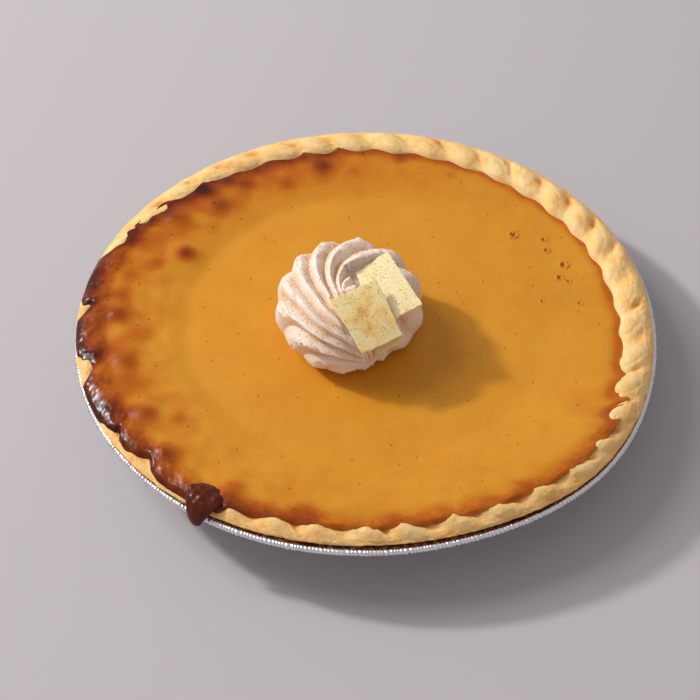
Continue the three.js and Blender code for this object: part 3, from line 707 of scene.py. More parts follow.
# %% Relief of the filling
LEFT_SIDE = (178, 72)
CRATER_RIM, CRATER_PIT, CRATER_SHADE = 0.3, 0.7, 0.16
boiled = bump(angle, *LEFT_SIDE)
over = smooth(radius, 112, 117) * smooth(wet, HELD_BACK, RAN_OVER)
skin = bubbles(places, 2.6, 4) * 0.55 + bubbles(places, 1.5, 9) * 0.2
relief_mm = 0.22 * lumps(places, 16, 1) * smooth(radius, 20, 90) + 0.1 * lumps(places, 6, 6)
relief_mm = relief_mm + over * near_edge * (0.5 * skin + 0.5 * lumps(places, 7, 8))
relief_mm = relief_mm + 0.5 * boiled * smooth(radius, 84, 96) * lumps(places, 9, 3)
crater_shade = 0
for centre, distance, width in CRATERS:
    away = np.hypot(radius - distance, distance * angle_between(angle, np.radians(centre))) / width
    away = away * (1 + 0.5 * lumps(places, 1.3, 8))
    rim_and_pit = CRATER_RIM * np.exp(-((away - 1.1) / 0.4) ** 2) - CRATER_PIT * np.exp(-(away / 0.55) ** 2)
    relief_mm += width * rim_and_pit
    # painted shade: each burst bubble is darkened from its pit outward
    crater_shade = crater_shade + CRATER_SHADE * np.exp(-(away / 1.4) ** 2)
places[:, 2] += np.where(upper, relief_mm, 0)
print("relief from", round(float(relief_mm.min()), 2), "to", round(float(relief_mm.max()), 2), "mm")

# %% [markdown]
# Scorch is the last value, and it is what makes the pie look baked. It is a dark band along the shoreline,
# as wide and as deep as the two tables say for each angle, then the dark spots that the photographed pie
# has, then a browner left side. Each spot is an angle, a distance, a width and a depth. Noise breaks up all
# of them. Painted shade from the burst bubbles is added last.

# %% Scorch of the filling, with painted shade in the burst bubbles
SCORCHED = [(179, 111, 8, 0.34), (153, 91, 6.5, 0.5), (144, 109.5, 6, 0.3), (133, 99, 7, 0.32),
            (132, 110, 7, 0.3), (101, 103, 8, 0.36), (122, 104, 6, 0.25), (-166, 108, 9, 0.3),
            (-154, 121, 8, 0.3), (-149, 109, 8, 0.3), (-136, 115, 8, 0.34), (-119, 112, 8, 0.28),
            (80, 108, 5, 0.2), (66, 104, 5, 0.12), (-103, 112, 8, 0.22), (-30, 108, 12, 0.1),
            (160, 100, 6, 0.18), (-178, 97, 7, 0.16), (-143, 100, 7, 0.16), (112, 96, 6, 0.16)]
BAND_WIDTHS = [(-170, 6), (-120, 5.5), (-60, 6), (-20, 5), (30, 3.5), (80, 4), (120, 7), (160, 7)]
BAND_DEPTHS = [(-170, 0.6), (-120, 0.56), (-90, 0.34), (-50, 0.32), (0, 0.3), (40, 0.26), (80, 0.3),
               (120, 0.42), (160, 0.56)]
BACK_LEFT = (106, 58)
band = np.exp(-(to_edge_of(SHORE, along, turn) / values_round(BAND_WIDTHS, angle)) ** 2)
burn_and_shade = values_round(BAND_DEPTHS, angle) * (1 + 0.3 * lumps(places, 6, 4)) * band
burn_and_shade = burn_and_shade + domes(radius, angle, SCORCHED)
burn_and_shade = burn_and_shade + 0.2 * boiled * smooth(radius, 82, 108)
burn_and_shade = burn_and_shade + 0.2 * smooth(radius, 74, 98) * bump(angle, *BACK_LEFT)
burn_and_shade = burn_and_shade + 0.1 * over * smooth(wet, 3.9, 5)
burn_and_shade = burn_and_shade + 0.14 * boiled * smooth(radius, 80, 90) * lumps(places, 9, 5)
burn_and_shade = burn_and_shade + 0.1 * smooth(radius, 80, 104) * (0.3 + leftward(angle)) * lumps(places, 7, 2)
burn_and_shade = burn_and_shade - 0.12 * over * skin
burn_and_shade = np.clip(burn_and_shade + crater_shade, 0, 1)
lay(filling_mesh, out_of_round(places))
filling = to_piece("pumpkin_filling", filling_mesh, custard_finish, {"scorch_and_shade": burn_and_shade})
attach(filling, "root")
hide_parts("filling")

# %% [markdown]
# The thick drip hangs over the rim at the front left like a drop of dark syrup. It could be pulled out of
# the filling's own mesh, but there the faces would be stretched thin. So a ball is stretched along a short
# route from the rim over the hem, narrower and rounder at its end. It wears the filling's finish, almost
# fully scorched, and its skin is swollen by bubbles of 3.4 mm.

# %% Build the drip
DRIP_ANGLE, DRIP_SCORCH = -122.6, 0.8
DRIP_ROUTE = [Vector((113, 29.8)), Vector((123, 34.4)), Vector((130, 31)), Vector((130, 21.8))]
DRIP_WIDTH = (20, 10)
DRIP_THICKNESS = 4.2


def along_route(route, share):
    """A point and direction on a smooth curve with four guide points."""
    a, b, c, d = route
    rest = 1 - share
    spot = a * rest**3 + b * 3 * rest**2 * share + c * 3 * rest * share**2 + d * share**3
    heading = (b - a) * rest**2 + (c - b) * 2 * rest * share + (d - c) * share**2
    return spot, heading.normalized()


drip_mesh = bmesh.new()
bmesh.ops.create_uvsphere(drip_mesh, u_segments=64, v_segments=48, radius=1)
for vert in drip_mesh.verts:
    share = 0.5 - 0.5 * vert.co.z
    spot, heading = along_route(DRIP_ROUTE, share)
    width = DRIP_WIDTH[0] + (DRIP_WIDTH[1] - DRIP_WIDTH[0]) * float(smooth(share, 0.1, 0.85))
    lift = vert.co.y * DRIP_THICKNESS / 2
    across = vert.co.x * width / 2
    radius_here = spot.x - heading.y * lift
    angle_here = math.radians(DRIP_ANGLE) + across / radius_here
    vert.co = Vector((radius_here * math.cos(angle_here), radius_here * math.sin(angle_here),
                      spot.y + heading.x * lift)) * MM
drip_places = np.array([v.co for v in drip_mesh.verts]) / MM
swell = 0.5 * lumps(drip_places, 5, 2) + 0.6 * bubbles(drip_places, 3.4, 6)
for vert, more in zip(drip_mesh.verts, swell.tolist()):
    vert.co.z += more * MM
drip = to_piece("burnt_drip", drip_mesh, custard_finish, {"scorch_and_shade": np.full(len(swell), DRIP_SCORCH)})
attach(drip, "root")

# %% [markdown]
# The tin is pressed from thin foil. Its wall is gathered in fine pleats, and its edge is rolled into a hem
# that shows as a bright crinkled line. The real sheet is under 0.1 mm, and like the solid this one is 0.6
# mm so that it stays a sound closed shell. Foil is nearly a mirror, broken up by creases about 4 mm apart,
# which turn one bright reflection into many small ones.

# %% The tin's material
foil_finish, tree, shader = new_material("crinkled_aluminium_foil", Metallic=1.0, Roughness=0.4)
shader.inputs["Base Color"].default_value = linear("f0f0f2")
roughen(tree, shader, cloudy(tree, 260, 5, 0.6), 0.4, 0.0006)
print("finish", foil_finish.name)

# %% [markdown]
# The tin is a cross-section carried once round: bottom, wall, flange, hem, and back along the inside. The
# crinkles of the hem are as fine as 1.5 mm, too regular for noise, so they are a zigzag whose pace wanders
# a little. The pleats of the wall are a plain wave. A picture of creases would look flat from the side.

# %% The tin's cross-section
TIN_FLOOR, WALL_FOOT, SHOULDER = 99.5, (102.9, 2.15), (118, 25.5)
SHEET, HEM_CENTRE, HEM_RADIUS = 0.6, (127.2, 25.2), 1.3
slope = Vector((SHOULDER[1] - WALL_FOOT[1], WALL_FOOT[0] - SHOULDER[0])).normalized() * SHEET
hem_start = math.pi + math.asin((HEM_CENTRE[1] - SHOULDER[1] + SHEET) / HEM_RADIUS)
hem_end = 3 * math.pi - math.asin((SHOULDER[1] - HEM_CENTRE[1]) / HEM_RADIUS)
hem = [hem_start + (hem_end - hem_start) * i / 12 for i in range(13)]
tin_profile = [(0, 0), (60, 0), (TIN_FLOOR + 0.2, 0), (WALL_FOOT[0] + slope.x, WALL_FOOT[1] + slope.y),
               (108, 11.2), (113.5, 19.6), (SHOULDER[0] + slope.x, SHOULDER[1] - SHEET),
               (122.5, SHOULDER[1] - SHEET)]
for a in hem:
    tin_profile.append((HEM_CENTRE[0] + HEM_RADIUS * math.cos(a), HEM_CENTRE[1] + HEM_RADIUS * math.sin(a)))
tin_profile += [(122, SHOULDER[1]), SHOULDER, WALL_FOOT, (TIN_FLOOR, SHEET), (60, SHEET), (0, SHEET)]
tin_radii, tin_heights = np.array(tin_profile).T
print("the cross-section has", len(tin_profile), "points")

# %% Crinkle the hem and pleat the wall
CRINKLES, CRINKLE_LIFT, HEM_WAVE, HEM_OUTSIDE = 520, 0.4, 0.3, 128.45
PLEATS, PLEAT_DEPTH, UNDER_FLANGE = 112, 0.45, 25.2
tin_mesh = flat_map(list(range(len(tin_profile))), CRINKLES * 4)
ring, turn = rings_and_turns(tin_mesh)
index = np.rint(ring)
radius = np.interp(index, np.arange(len(tin_profile)), tin_radii)
height = np.interp(index, np.arange(len(tin_profile)), tin_heights)
on_hem = smooth(radius, 124.5, 126)
spots = polar(radius, turn, height)
wander = 0.7 * lumps(polar(128 * np.ones_like(turn), turn, 0 * turn), 4, 6)
zigzag = 4 * np.abs((turn / (2 * np.pi) * CRINKLES + wander) % 1 - 0.5) - 1
fold = zigzag * (0.4 + 0.3 * lumps(spots, 3, 3)) + 0.2 * lumps(spots, 2.2, 9) - 0.35
radius = radius + np.where(on_hem > 0, np.minimum(fold * on_hem, HEM_OUTSIDE - radius), 0)
height = height + CRINKLE_LIFT * zigzag * on_hem * (0.5 + lumps(spots, 2.5, 5))
height = height + HEM_WAVE * on_hem * lumps(spots, 24, 6)
wall = smooth(radius, TIN_FLOOR + 1, 105) * (1 - smooth(radius, 117, 119)) * (height < UNDER_FLANGE)
radius = radius + PLEAT_DEPTH * wall * np.cos(turn * PLEATS)
lay(tin_mesh, out_of_round(polar(radius, turn, height)))
tin = to_piece("foil_tin", tin_mesh, foil_finish)
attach(tin, "root")
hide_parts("tin")

# %% [markdown]
# Juice that ran between the crust and the tin has burnt to a dark crumbly line along the front. A dark
# stain painted on the tin would lie flat, so it is a thin strip that lies on the tin's flange with a ragged
# top, made by spinning a small cross-section along its stretch. Its char is almost black, with brown crumbs
# of 2 mm.

# %% Build the burnt line
SEEP_FROM, SEEP_TO, SEEP_TAPER, SEEP_STEPS = -168, -24, 14, 560
SEEP_FOOT, SEEP_SUNK, SEEP_TOP, GAPS_BETWEEN = 25.58, 0.04, 1.2, (-82, -68)
seep_profile = [(121.8, 25.6), (123.4, 26.2), (124.8, 26.7), (125.9, 26.5), (126.3, 25.9), (124, SEEP_FOOT)]
seep_finish, tree, shader = new_material("burnt_juice", Roughness=0.5, IOR=1.5)
paint(tree, shader, cloudy(tree, 500, 4), [(0.3, "2a1008"), (0.5, "55220c"), (0.62, "a06428")])
seep_mesh = bmesh.new()
line = [seep_mesh.verts.new((r, 0, z)) for r, z in seep_profile]
edges = [seep_mesh.edges.new(pair) for pair in zip(line, line[1:] + line[:1])]
first_turn = Matrix.Rotation(math.radians(SEEP_FROM), 3, "Z")
bmesh.ops.rotate(seep_mesh, verts=line, cent=(0, 0, 0), matrix=first_turn)
bmesh.ops.spin(seep_mesh, geom=line + edges, cent=(0, 0, 0), axis=(0, 0, 1),
               angle=math.radians(SEEP_TO - SEEP_FROM), steps=SEEP_STEPS)
bmesh.ops.holes_fill(seep_mesh, edges=[e for e in seep_mesh.edges if len(e.link_faces) == 1], sides=0)
places = np.array([v.co for v in seep_mesh.verts])
turn = np.arctan2(places[:, 1], places[:, 0])
radius = np.hypot(places[:, 0], places[:, 1])
heap = np.clip(places[:, 2] - SEEP_FOOT - SEEP_SUNK, 0, SEEP_TOP)
degrees = np.degrees(turn)
ends = smooth(degrees, SEEP_FROM, SEEP_FROM + SEEP_TAPER)
ends = ends * (1 - smooth(degrees, SEEP_TO - SEEP_TAPER, SEEP_TO))
ragged = np.clip(0.65 + 0.9 * lumps(places, 7, 4) + 0.6 * lumps(places, 1.6, 2), 0.05, 1.3)
gaps = smooth(lumps(places, 17, 3), 0.05, -0.15) * smooth(degrees, *GAPS_BETWEEN)
ragged = ragged * (1 - 0.95 * gaps)
places[:, 2] = SEEP_FOOT + heap * ends * ragged
lay(seep_mesh, out_of_round(places))
seep = to_piece("burnt_juice_line", seep_mesh, seep_finish)
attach(seep, "root")

# %% [markdown]
# Whipped cream was piped through an open star nozzle in one turn, so its ridges start together near the
# top, sweep round clockwise as they go outward, and fold in again at the foot. Each ridge has a sharp
# ragged crest and a deep round groove beside it. Under a light dusting of cinnamon the cream is a warm
# white, and light sinks in a little. Powder of 0.8 mm colours it, and froth of 1.2 mm keeps it from shining
# like plastic. The dusting value is raised in the grooves, partly for cinnamon and partly as painted shade.

# %% The cream's material
cream_finish, tree, shader = new_material("whipped_cream", Roughness=0.55, IOR=1.4, Subsurface_Weight=0.15,
                                          Subsurface_Scale=0.0015)
shader.inputs["Subsurface Radius"].default_value = (1.0, 0.8, 0.6)
dust_and_groove_shade = reckon(tree, "MULTIPLY", cloudy(tree, 1300, 3, 0.7), mesh_value(tree, "dusted"))
paint(tree, shader, dust_and_groove_shade, [(0.0, "f6e7da"), (0.34, "f1decb"), (0.54, "e4c3a0"), (0.7, "c08650")])
roughen(tree, shader, cloudy(tree, 800, 4, 0.6), 0.25, 0.0004)
print("finish", cream_finish.name)

# %% [markdown]
# The plates come before the swirl, because the cream gives way where they were pushed in. Each one is given
# by its four corners in its own plane, how far it bows, where its middle is, and its three turns in
# degrees.

# %% The three plates of white chocolate, as corners, bow and place
PLATE_THICKNESS = 1.1
PLATES = {
    "front": {"corners": [(-9.5, -14), (9.8, -13.6), (11.2, 14.2), (-11.6, 13.6)], "bow": 0.9,
              "position": (1.3, -25.7, 55.9), "heading": 28.6, "pitch": 21.7, "roll": -5.2},
    "back": {"corners": [(-11, -17), (9.5, -16.6), (9.2, 16.6), (-8, 13.5)], "bow": 0.5,
             "position": (9.2, -7.6, 55.5), "heading": 25.3, "pitch": 5.5, "roll": -12},
    "under": {"corners": [(-6.5, -5.5), (6.5, -5.5), (6.7, 6), (-6, 6)], "bow": 0.5,
              "position": (9, -28.5, 46.5), "heading": 27.9, "pitch": 12.9, "roll": -20.8},
}


def plate_matrix(plate):
    """Turned about its own roll, then pitch, then heading, and moved to its place, in millimetres."""
    turned = [Matrix.Rotation(math.radians(plate[name]), 4, axis)
              for name, axis in (("heading", "Z"), ("pitch", "X"), ("roll", "Y"))]
    return Matrix.Translation(plate["position"]) @ turned[0] @ turned[1] @ turned[2]


print("plates", list(PLATES), "each", PLATE_THICKNESS, "mm thick")

# %% [markdown]
# The swirl is a disc of rings laid on a low dome. Its ridges are the lines of one turn value, and because
# the disc is twisted as it goes out, they come out as spirals by themselves. The rings don't open from a
# point but from a short seam, as the last cream from the nozzle left one. Fourteen separate ridges could be
# bent along curves, but they would have gaps between them.

# %% The swirl's sizes, its dome and its twisted disc
ROSETTE_CENTRE, ROSETTE_RADIUS, ROSETTE_HEIGHT = (-6.5, -5.5), 33, 32.5
ROSETTE_BASE = LEVEL + 0.3
ARMS, ARM_SAMPLES, ARM_DEPTH = 14, 26, 3.4
VORTEX, FRONT_POINT = np.array((-0.025, -0.134)), np.array((0.144, -0.666))
SEAM_TURN, TWIST_FAST, TWIST_SLOWING = 191, 283.3, 223.5
ROSETTE = np.array([(0, 0.975), (0.2, 0.985), (0.42, 1), (0.64, 0.97), (0.82, 0.89), (0.93, 0.76),
                    (0.985, 0.59), (1, 0.4), (0.97, 0.22), (0.88, 0.08), (0.78, 0)])
RINGS, SMOOTHED_OVER = 100, 24
rosette_mesh = flat_map(list(range(RINGS + 1)) + [RINGS + 4], ARMS * ARM_SAMPLES)
ring, turn = rings_and_turns(rosette_mesh)
share = np.clip(ring / RINGS, 0, 1)
knots = np.linspace(0, 1, len(ROSETTE))


def dome(along):
    """Radius and height of the dome at this share of the way from its top to its foot."""
    fine = np.linspace(0, 1, 400)
    curve = []
    for column in ROSETTE.T:
        value = np.interp(fine, knots, column)
        padded = np.pad(value, SMOOTHED_OVER, mode="reflect", reflect_type="odd")
        weights = np.hanning(2 * SMOOTHED_OVER + 1)
        curve.append(np.interp(along, fine, np.convolve(padded, weights / weights.sum(), "valid")))
    return curve


def disc_spot(share, turn):
    """Where a point lies on the disc: rings open from the seam, with share 0, to the foot, with share 1."""
    turning = np.minimum(share, TWIST_FAST / (2 * TWIST_SLOWING))
    twist = TWIST_FAST * turning - TWIST_SLOWING * turning**2
    turned = turn + np.radians(SEAM_TURN * 360 / (ARMS * ARM_SAMPLES) - twist)
    half_seam = (FRONT_POINT - VORTEX) / 2
    seam_angle = math.atan2(half_seam[1], half_seam[0])
    on_seam = (VORTEX + FRONT_POINT) / 2 + np.cos(turned)[:, None] * half_seam
    on_foot = np.stack([np.cos(turned + seam_angle), np.sin(turned + seam_angle)], -1)
    return on_seam + (on_foot - on_seam) * share[:, None]


print("swirl of", ARMS, "ridges,", ROSETTE_HEIGHT, "mm high")

# %% [markdown]
# Each point is now lifted from the disc to the dome and pushed inward, at right angles to the dome, by the
# depth of its groove. The crests are torn a little by noise that changes quickly along a ridge. At the
# front right the swirl slumps under the plates, and round it some sides spread a millimetre further than
# others.

# %% Lay the swirl on its dome
TEARS_ALONG, TEAR_DEPTH, CREST_SPREAD = 42, 1.3, 0.32
SLUMP, SLUMP_RADIUS, SLUMP_HEIGHT = (-52, 34), 4, 5
SPREADS = [(1.2, -112, 30), (1.3, 100, 60), (-0.8, -145, 25)]
disc = disc_spot(share, turn)
along = np.minimum(np.hypot(disc[:, 0], disc[:, 1]), 1)
angle = np.arctan2(disc[:, 1], disc[:, 0])
rho, lift = dome(along)
rho_next, lift_next = dome(np.clip(along + 0.01, 0, 1))
rho_last, lift_last = dome(np.clip(along - 0.01, 0, 1))
tangent = np.stack([rho_next - rho_last, lift_next - lift_last], -1)
tangent /= np.linalg.norm(tangent, axis=1)[:, None]
arm = turn / (2 * np.pi) * ARMS
from_crest = 2 * np.abs(arm - np.rint(arm))
tear = lumps(np.stack([np.rint(arm) * 3.1, share * TEARS_ALONG, arm * 0], -1), 1.0, 2)
torn = np.clip(1 - from_crest / CREST_SPREAD, 0, 1) * smooth(share, 0.25, 0.45)
fade = smooth(share, 0, 0.2) * (1 - 0.65 * smooth(share, 0.45, 0.85))
groove = ARM_DEPTH * fade * from_crest**1.15 + TEAR_DEPTH * torn * (0.3 + tear) * (0.3 + fade)
slump = bump(angle, *SLUMP)
spread = sum(push * bump(angle, centre, width) for push, centre, width in SPREADS) - SLUMP_RADIUS * slump
radius = rho * (ROSETTE_RADIUS + spread) + tangent[:, 1] * groove
height = lift * (ROSETTE_HEIGHT - SLUMP_HEIGHT * slump * smooth(rho, 0.2, 0.7)) - tangent[:, 0] * groove
places = polar(radius, angle, ROSETTE_BASE + np.maximum(height, 0))
places[:, :2] += ROSETTE_CENTRE
froth_mm = 0.25 * lumps(places, 4, 1) + 0.16 * lumps(places, 1.4, 5)
places[:, 2] += froth_mm * (height > 0.5)
places[ring > RINGS + 2] = (*ROSETTE_CENTRE, ROSETTE_BASE)
print("swirl from", round(float(places[:, 2].min()), 1), "to", round(float(places[:, 2].max()), 1), "mm")

# %% [markdown]
# Cream yields where a plate is pushed in, and cutting it with a boolean would leave hard edges. So each
# point of the cream that stands above a plate's underside, within its outline, is moved down to just below
# it. Dust is the share of cinnamon, most near the top. It is raised in the grooves, partly for cinnamon
# that gathered there and partly as painted shade.

# %% Press the plates into the cream
PRESS_MARGIN, PRESS_GAP, PRESS_REACH = 0.3, 0.15, 14
for plate in PLATES.values():
    inside = np.array(plate_matrix(plate).inverted())
    local = places @ inside[:3, :3].T + inside[:3, 3]
    corners = np.array(plate["corners"])
    low, high = corners.min(0) - PRESS_MARGIN, corners.max(0) + PRESS_MARGIN
    covered = ((local[:, :2] > low) & (local[:, :2] < high)).all(1)
    bend = -plate["bow"] * (2 * (local[:, 1] - low[1]) / (high[1] - low[1]) - 1) ** 2
    surface = bend - PLATE_THICKNESS / 2 - PRESS_GAP
    pressed = covered & (local[:, 2] > surface) & (local[:, 2] < PRESS_REACH)
    local[:, 2] = np.where(pressed, surface, local[:, 2])
    outside = np.array(plate_matrix(plate))
    places = np.where(pressed[:, None], local @ outside[:3, :3].T + outside[:3, 3], places)
# darker in the grooves, where from_crest is high: partly cinnamon and partly painted shade
dust = 0.45 + 0.65 * from_crest + 0.35 * lumps(places, 9, 4) - 0.4 * smooth(along, 0.5, 0.85)
lay(rosette_mesh, places)
rosette = to_piece("cream_swirl", rosette_mesh, cream_finish, {"dusted": np.clip(dust, 0.1, 1.1)})
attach(rosette, "root")
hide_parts("cream_rosette")

# %% [markdown]
# The plates are thin white chocolate, spread on a sheet, set, and broken or cut into tiles. White chocolate
# is pale yellow from cocoa butter, waxy, and lets a little light through. Cinnamon stains it in patches of
# 6 mm, and smears of 3 mm from the spreading soften its gloss.

# %% The chocolate's material
chocolate_finish, tree, shader = new_material("white_chocolate", Roughness=0.42, IOR=1.47,
                                              Subsurface_Weight=0.3, Subsurface_Scale=0.002)
shader.inputs["Subsurface Radius"].default_value = (1.0, 0.8, 0.4)
stained = reckon(tree, "MULTIPLY", cloudy(tree, 160, 5, 0.6), mesh_value(tree, "dusted"))
paint(tree, shader, stained, [(0.08, "fdedbc"), (0.26, "fae2a0"), (0.4, "f4ca7a"), (0.56, "cc8e3e")])
roughen(tree, shader, cloudy(tree, 300, 3), 0.15, 0.0004)
print("finish", chocolate_finish.name)

# %% [markdown]
# Each tile starts as a flat grid, is fitted between its four corners, bowed, given its thickness and a
# small bevel. A cube scaled flat would be quicker, but it could neither bow nor have uneven edges. The
# front tile carries the most cinnamon, heaped in its middle.

# %% Build the plates
BEVEL, CHIP, WAVE = 0.18, 0.35, 0.18
HEAP_DEPTH, HEAP_WIDTH = 0.4, 8
plate_pieces = []
for name, plate in PLATES.items():
    tile = bmesh.new()
    bmesh.ops.create_grid(tile, x_segments=36, y_segments=48, size=0.5)
    sides = [Vector(c) for c in plate["corners"]]
    for vert in tile.verts:
        u, v = vert.co.x + 0.5, vert.co.y + 0.5
        spot = (sides[0].lerp(sides[1], u)).lerp(sides[3].lerp(sides[2], u), v)
        chip = CHIP * noise.noise((spot.x / 3, spot.y / 3, 1)) * max(abs(2 * u - 1), abs(2 * v - 1)) ** 8
        spot = spot * (1 + chip / 10)
        wave = WAVE * noise.noise((spot.x / 9, spot.y / 9, 5))
        vert.co = Vector((spot.x, spot.y, -plate["bow"] * (2 * v - 1) ** 2 + wave))
    bmesh.ops.recalc_face_normals(tile, faces=tile.faces)
    bmesh.ops.solidify(tile, geom=tile.faces[:], thickness=PLATE_THICKNESS)
    middle = sum((v.co.z for v in tile.verts)) / len(tile.verts)
    bmesh.ops.translate(tile, verts=tile.verts, vec=(0, 0, -middle - plate["bow"] / 3))
    sharp = [e for e in tile.edges if len(e.link_faces) == 2 and e.calc_face_angle(0) > 1.0]
    bmesh.ops.bevel(tile, geom=sharp, offset=BEVEL, segments=2, profile=0.5, affect="EDGES", material=-1)
    bmesh.ops.transform(tile, matrix=Matrix.Scale(MM, 4) @ plate_matrix(plate), verts=tile.verts)
    spots = np.array([v.co for v in tile.verts]) / MM
    from_middle = np.linalg.norm(spots - plate["position"], axis=1)
    heaped = HEAP_DEPTH * np.exp(-(from_middle / HEAP_WIDTH) ** 2) + 0.14 if name == "front" else 0
    dust = 0.32 + heaped + 0.2 * lumps(spots, 7, 3)
    piece = to_piece(f"white_chocolate_{name}", tile, chocolate_finish, {"dusted": np.clip(dust, 0, 1)})
    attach(piece, "root")
    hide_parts(f"chocolate_plate_{name}")
    plate_pieces.append(piece)

# %% [markdown]
# Ground cinnamon was sifted over the topping. Its grains are 0.2 to 0.6 mm, sharp-edged flakes of bark,
# matt and reddish brown in several shades. Painted specks would cast no shadow and would stretch on the
# steep sides of the cream. So each grain is a tiny squashed ball of twenty faces, dropped straight down on
# whatever lies below, and all are one mesh.

# %% Cinnamon's finish and the way it falls
GRAIN_FACES, STEEPEST, FLATTENED = 20, 0.25, 0.45
cinnamon_finish, tree, shader = new_material("ground_cinnamon", Roughness=0.8, IOR=1.5)
paint(tree, shader, cloudy(tree, 700, 1), [(0.3, "ae5418"), (0.5, "cf7428"), (0.7, "e29a4a")])
print("finish", cinnamon_finish.name)


def surface_below(pieces):
    """A search tree over several pieces, for finding what lies below a point."""
    verts, faces = [], []
    for piece in pieces:
        start = len(verts)
        verts.extend(v.co.copy() for v in piece.data.vertices)
        faces.extend([start + i for i in p.vertices] for p in piece.data.polygons)
    return BVHTree.FromPolygons(verts, faces)


below = surface_below([rosette, filling, *plate_pieces])
grain_places = []


def drop_grain(x, y, size):
    """Lays one grain on what lies below, unless that is too steep to hold it."""
    spot, normal, _, _ = below.ray_cast(Vector((x, y, 100)) * MM, Vector((0, 0, -1)))
    if spot is None or normal.z < STEEPEST:
        return
    stretch = Matrix.Diagonal((size * MM, size * chances.uniform(0.5, 1) * MM, size * FLATTENED * MM, 1))
    turned = Matrix.Rotation(chances.uniform(0, math.tau), 4, "Z")
    onto = normal.to_track_quat("Z", "Y").to_matrix().to_4x4()
    grain_places.append(Matrix.Translation(spot) @ onto @ turned @ stretch)


print("cinnamon can fall on", 2 + len(plate_pieces), "pieces")

# %% [markdown]
# Most tries go to the swirl, where clouds of noise decide how many grains stay. The rest drift to the right
# over the filling, thinner with distance.

# %% Drop the cinnamon
TOPPING_TRIES, TOPPING_SIZES = 3800, (0.2, 0.62, 0.3)
DRIFT_TRIES, DRIFT_SIZES, DRIFT_CENTRE, DRIFT_SPREAD = 2600, (0.16, 0.5, 0.22), (34, 2), (19, 24)
for _ in range(TOPPING_TRIES):
    distance, bearing = ROSETTE_RADIUS * math.sqrt(chances.random()), chances.uniform(0, math.tau)
    x = ROSETTE_CENTRE[0] + distance * math.cos(bearing)
    y = ROSETTE_CENTRE[1] + distance * math.sin(bearing)
    if noise.noise((x / 8, y / 8, 3)) > chances.uniform(-0.7, 0.4):
        drop_grain(x, y, chances.triangular(*TOPPING_SIZES))
for _ in range(DRIFT_TRIES):
    x, y = (middle + chances.gauss(0, wide) for middle, wide in zip(DRIFT_CENTRE, DRIFT_SPREAD))
    drop_grain(x, y, chances.triangular(*DRIFT_SIZES))
print("grains that stayed", len(grain_places))
grains = bmesh.new()
bmesh.ops.create_icosphere(grains, subdivisions=1, radius=0.5)
corners = len(grains.verts)
while len(grains.faces) < GRAIN_FACES * len(grain_places):
    missing = GRAIN_FACES * len(grain_places) - len(grains.faces)
    bmesh.ops.duplicate(grains, geom=grains.faces[:missing])
for number, vert in enumerate(grains.verts):
    vert.co = grain_places[number // corners] @ vert.co
cinnamon = to_piece("cinnamon_grains", grains, cinnamon_finish)
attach(cinnamon, "root")

# %% [markdown]
# The set is a plain pale floor. The pie's shadow has a crisp outer edge and grows darker towards the pie,
# as under two lights from the upper left: a small hard one, and a wide soft one a little higher. The hard
# one gives about a third of the light, the soft one a quarter, and an even pale surrounding the rest. One
# lamp alone would give a shadow that is too sharp, or one that has no edge. The floor is matt and light
# grey, so that it carries the shadow and takes no colour from the pie.

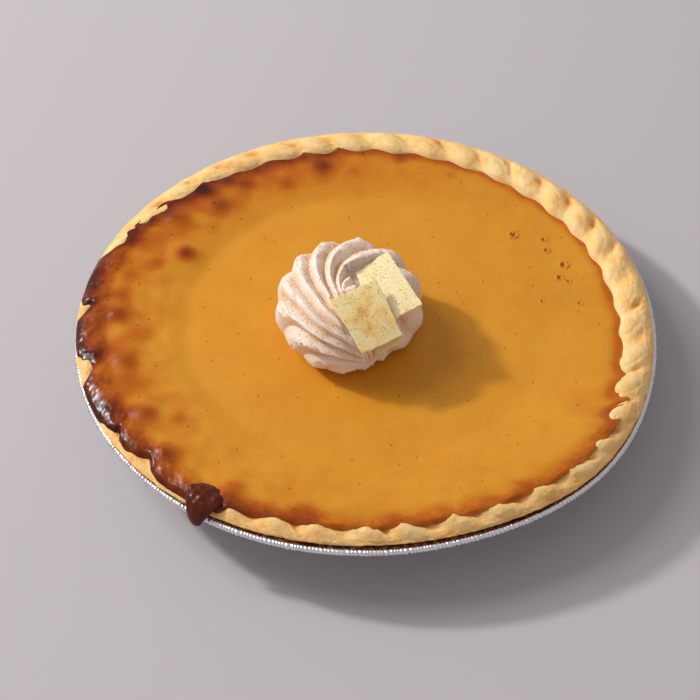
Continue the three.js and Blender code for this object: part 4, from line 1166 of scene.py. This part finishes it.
# %% The floor
floor_mesh = bmesh.new()
bmesh.ops.create_grid(floor_mesh, x_segments=1, y_segments=1, size=3)
floor_finish, tree, shader = new_material("plain_pale_floor", Roughness=0.8)
shader.inputs["Base Color"].default_value = linear("bcb7b9")
floor = to_piece("floor", floor_mesh, floor_finish)
floor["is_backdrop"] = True

# %% The two lamps
LAMPS = {"hard_lamp": {"towards": (-0.745, 0.350, 0.568), "distance": 2.6, "width": 0.24, "watts": 40.3},
         "soft_lamp": {"towards": (-0.64, 0.30, 0.707), "distance": 2.5, "width": 1.25, "watts": 23.7}}
LAMP_COLOUR, LIT_HEIGHT = (1.0, 0.985, 0.97), 0.03
for name, lamp in LAMPS.items():
    lamp_data = bpy.data.lights.new(name, "AREA")
    lamp_data.shape = "DISK"
    lamp_data.size = lamp["width"]
    lamp_data.energy = lamp["watts"]
    lamp_data.color = LAMP_COLOUR
    lamp_object = bpy.data.objects.new(name, lamp_data)
    direction = Vector(lamp["towards"]).normalized()
    lamp_object.location = direction * lamp["distance"] + Vector((0, 0, LIT_HEIGHT))
    lamp_object.rotation_euler = direction.to_track_quat("Z", "Y").to_euler()
    bpy.context.scene.collection.objects.link(lamp_object)
    print(name, "at", [round(x, 3) for x in lamp_object.location])

# %% The even fill
FILL_COLOUR, FILL_STRENGTH = (1.0, 0.945, 0.965, 1.0), 0.42
surrounding = bpy.data.worlds.new("even_fill")
surrounding.use_nodes = True
background = surrounding.node_tree.nodes["Background"]
background.inputs["Color"].default_value = FILL_COLOUR
background.inputs["Strength"].default_value = FILL_STRENGTH
bpy.context.scene.world = surrounding
bpy.context.scene.view_settings.view_transform = "Standard"
print("fill strength", FILL_STRENGTH)

# %% [markdown]
# The camera looks from the front, 47 degrees above the level and from 0.82 m away, with a long lens and a
# slight roll. Its place was fitted to the ellipses of the hem, the crust and the filling's level. A nearer
# camera with a shorter lens would make the front of the pie too wide.

# %% Camera
CAMERA_PLACE = Vector((-0.23, -578.8, 625.6)) * MM
CAMERA_AIM = Vector((-6.54, -18.67, 28)) * MM
CAMERA_ROLL = 1.228
FOCAL_PIXELS, IMAGE_PIXELS, SENSOR = 1877, 700, 36
camera_data = bpy.data.cameras.new("camera")
camera_data.sensor_width = SENSOR
camera_data.lens = FOCAL_PIXELS / IMAGE_PIXELS * SENSOR
print("lens", round(camera_data.lens, 1), "mm, away", round((CAMERA_AIM - CAMERA_PLACE).length, 2), "m")
camera = bpy.data.objects.new("camera", camera_data)
camera.location = CAMERA_PLACE
aim = (CAMERA_AIM - CAMERA_PLACE).to_track_quat("-Z", "Y").to_matrix()
camera.rotation_euler = (aim @ Matrix.Rotation(math.radians(-CAMERA_ROLL), 3, "Z")).to_euler()
bpy.context.scene.collection.objects.link(camera)
bpy.context.scene.camera = camera

# %% [markdown]
# Last, the box of the dressed pie is printed, in millimetres.

# %% Print the dressed pie's box
low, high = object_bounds()
print("visual box in mm", [round(x / MM, 1) for x in (*low, *high)])
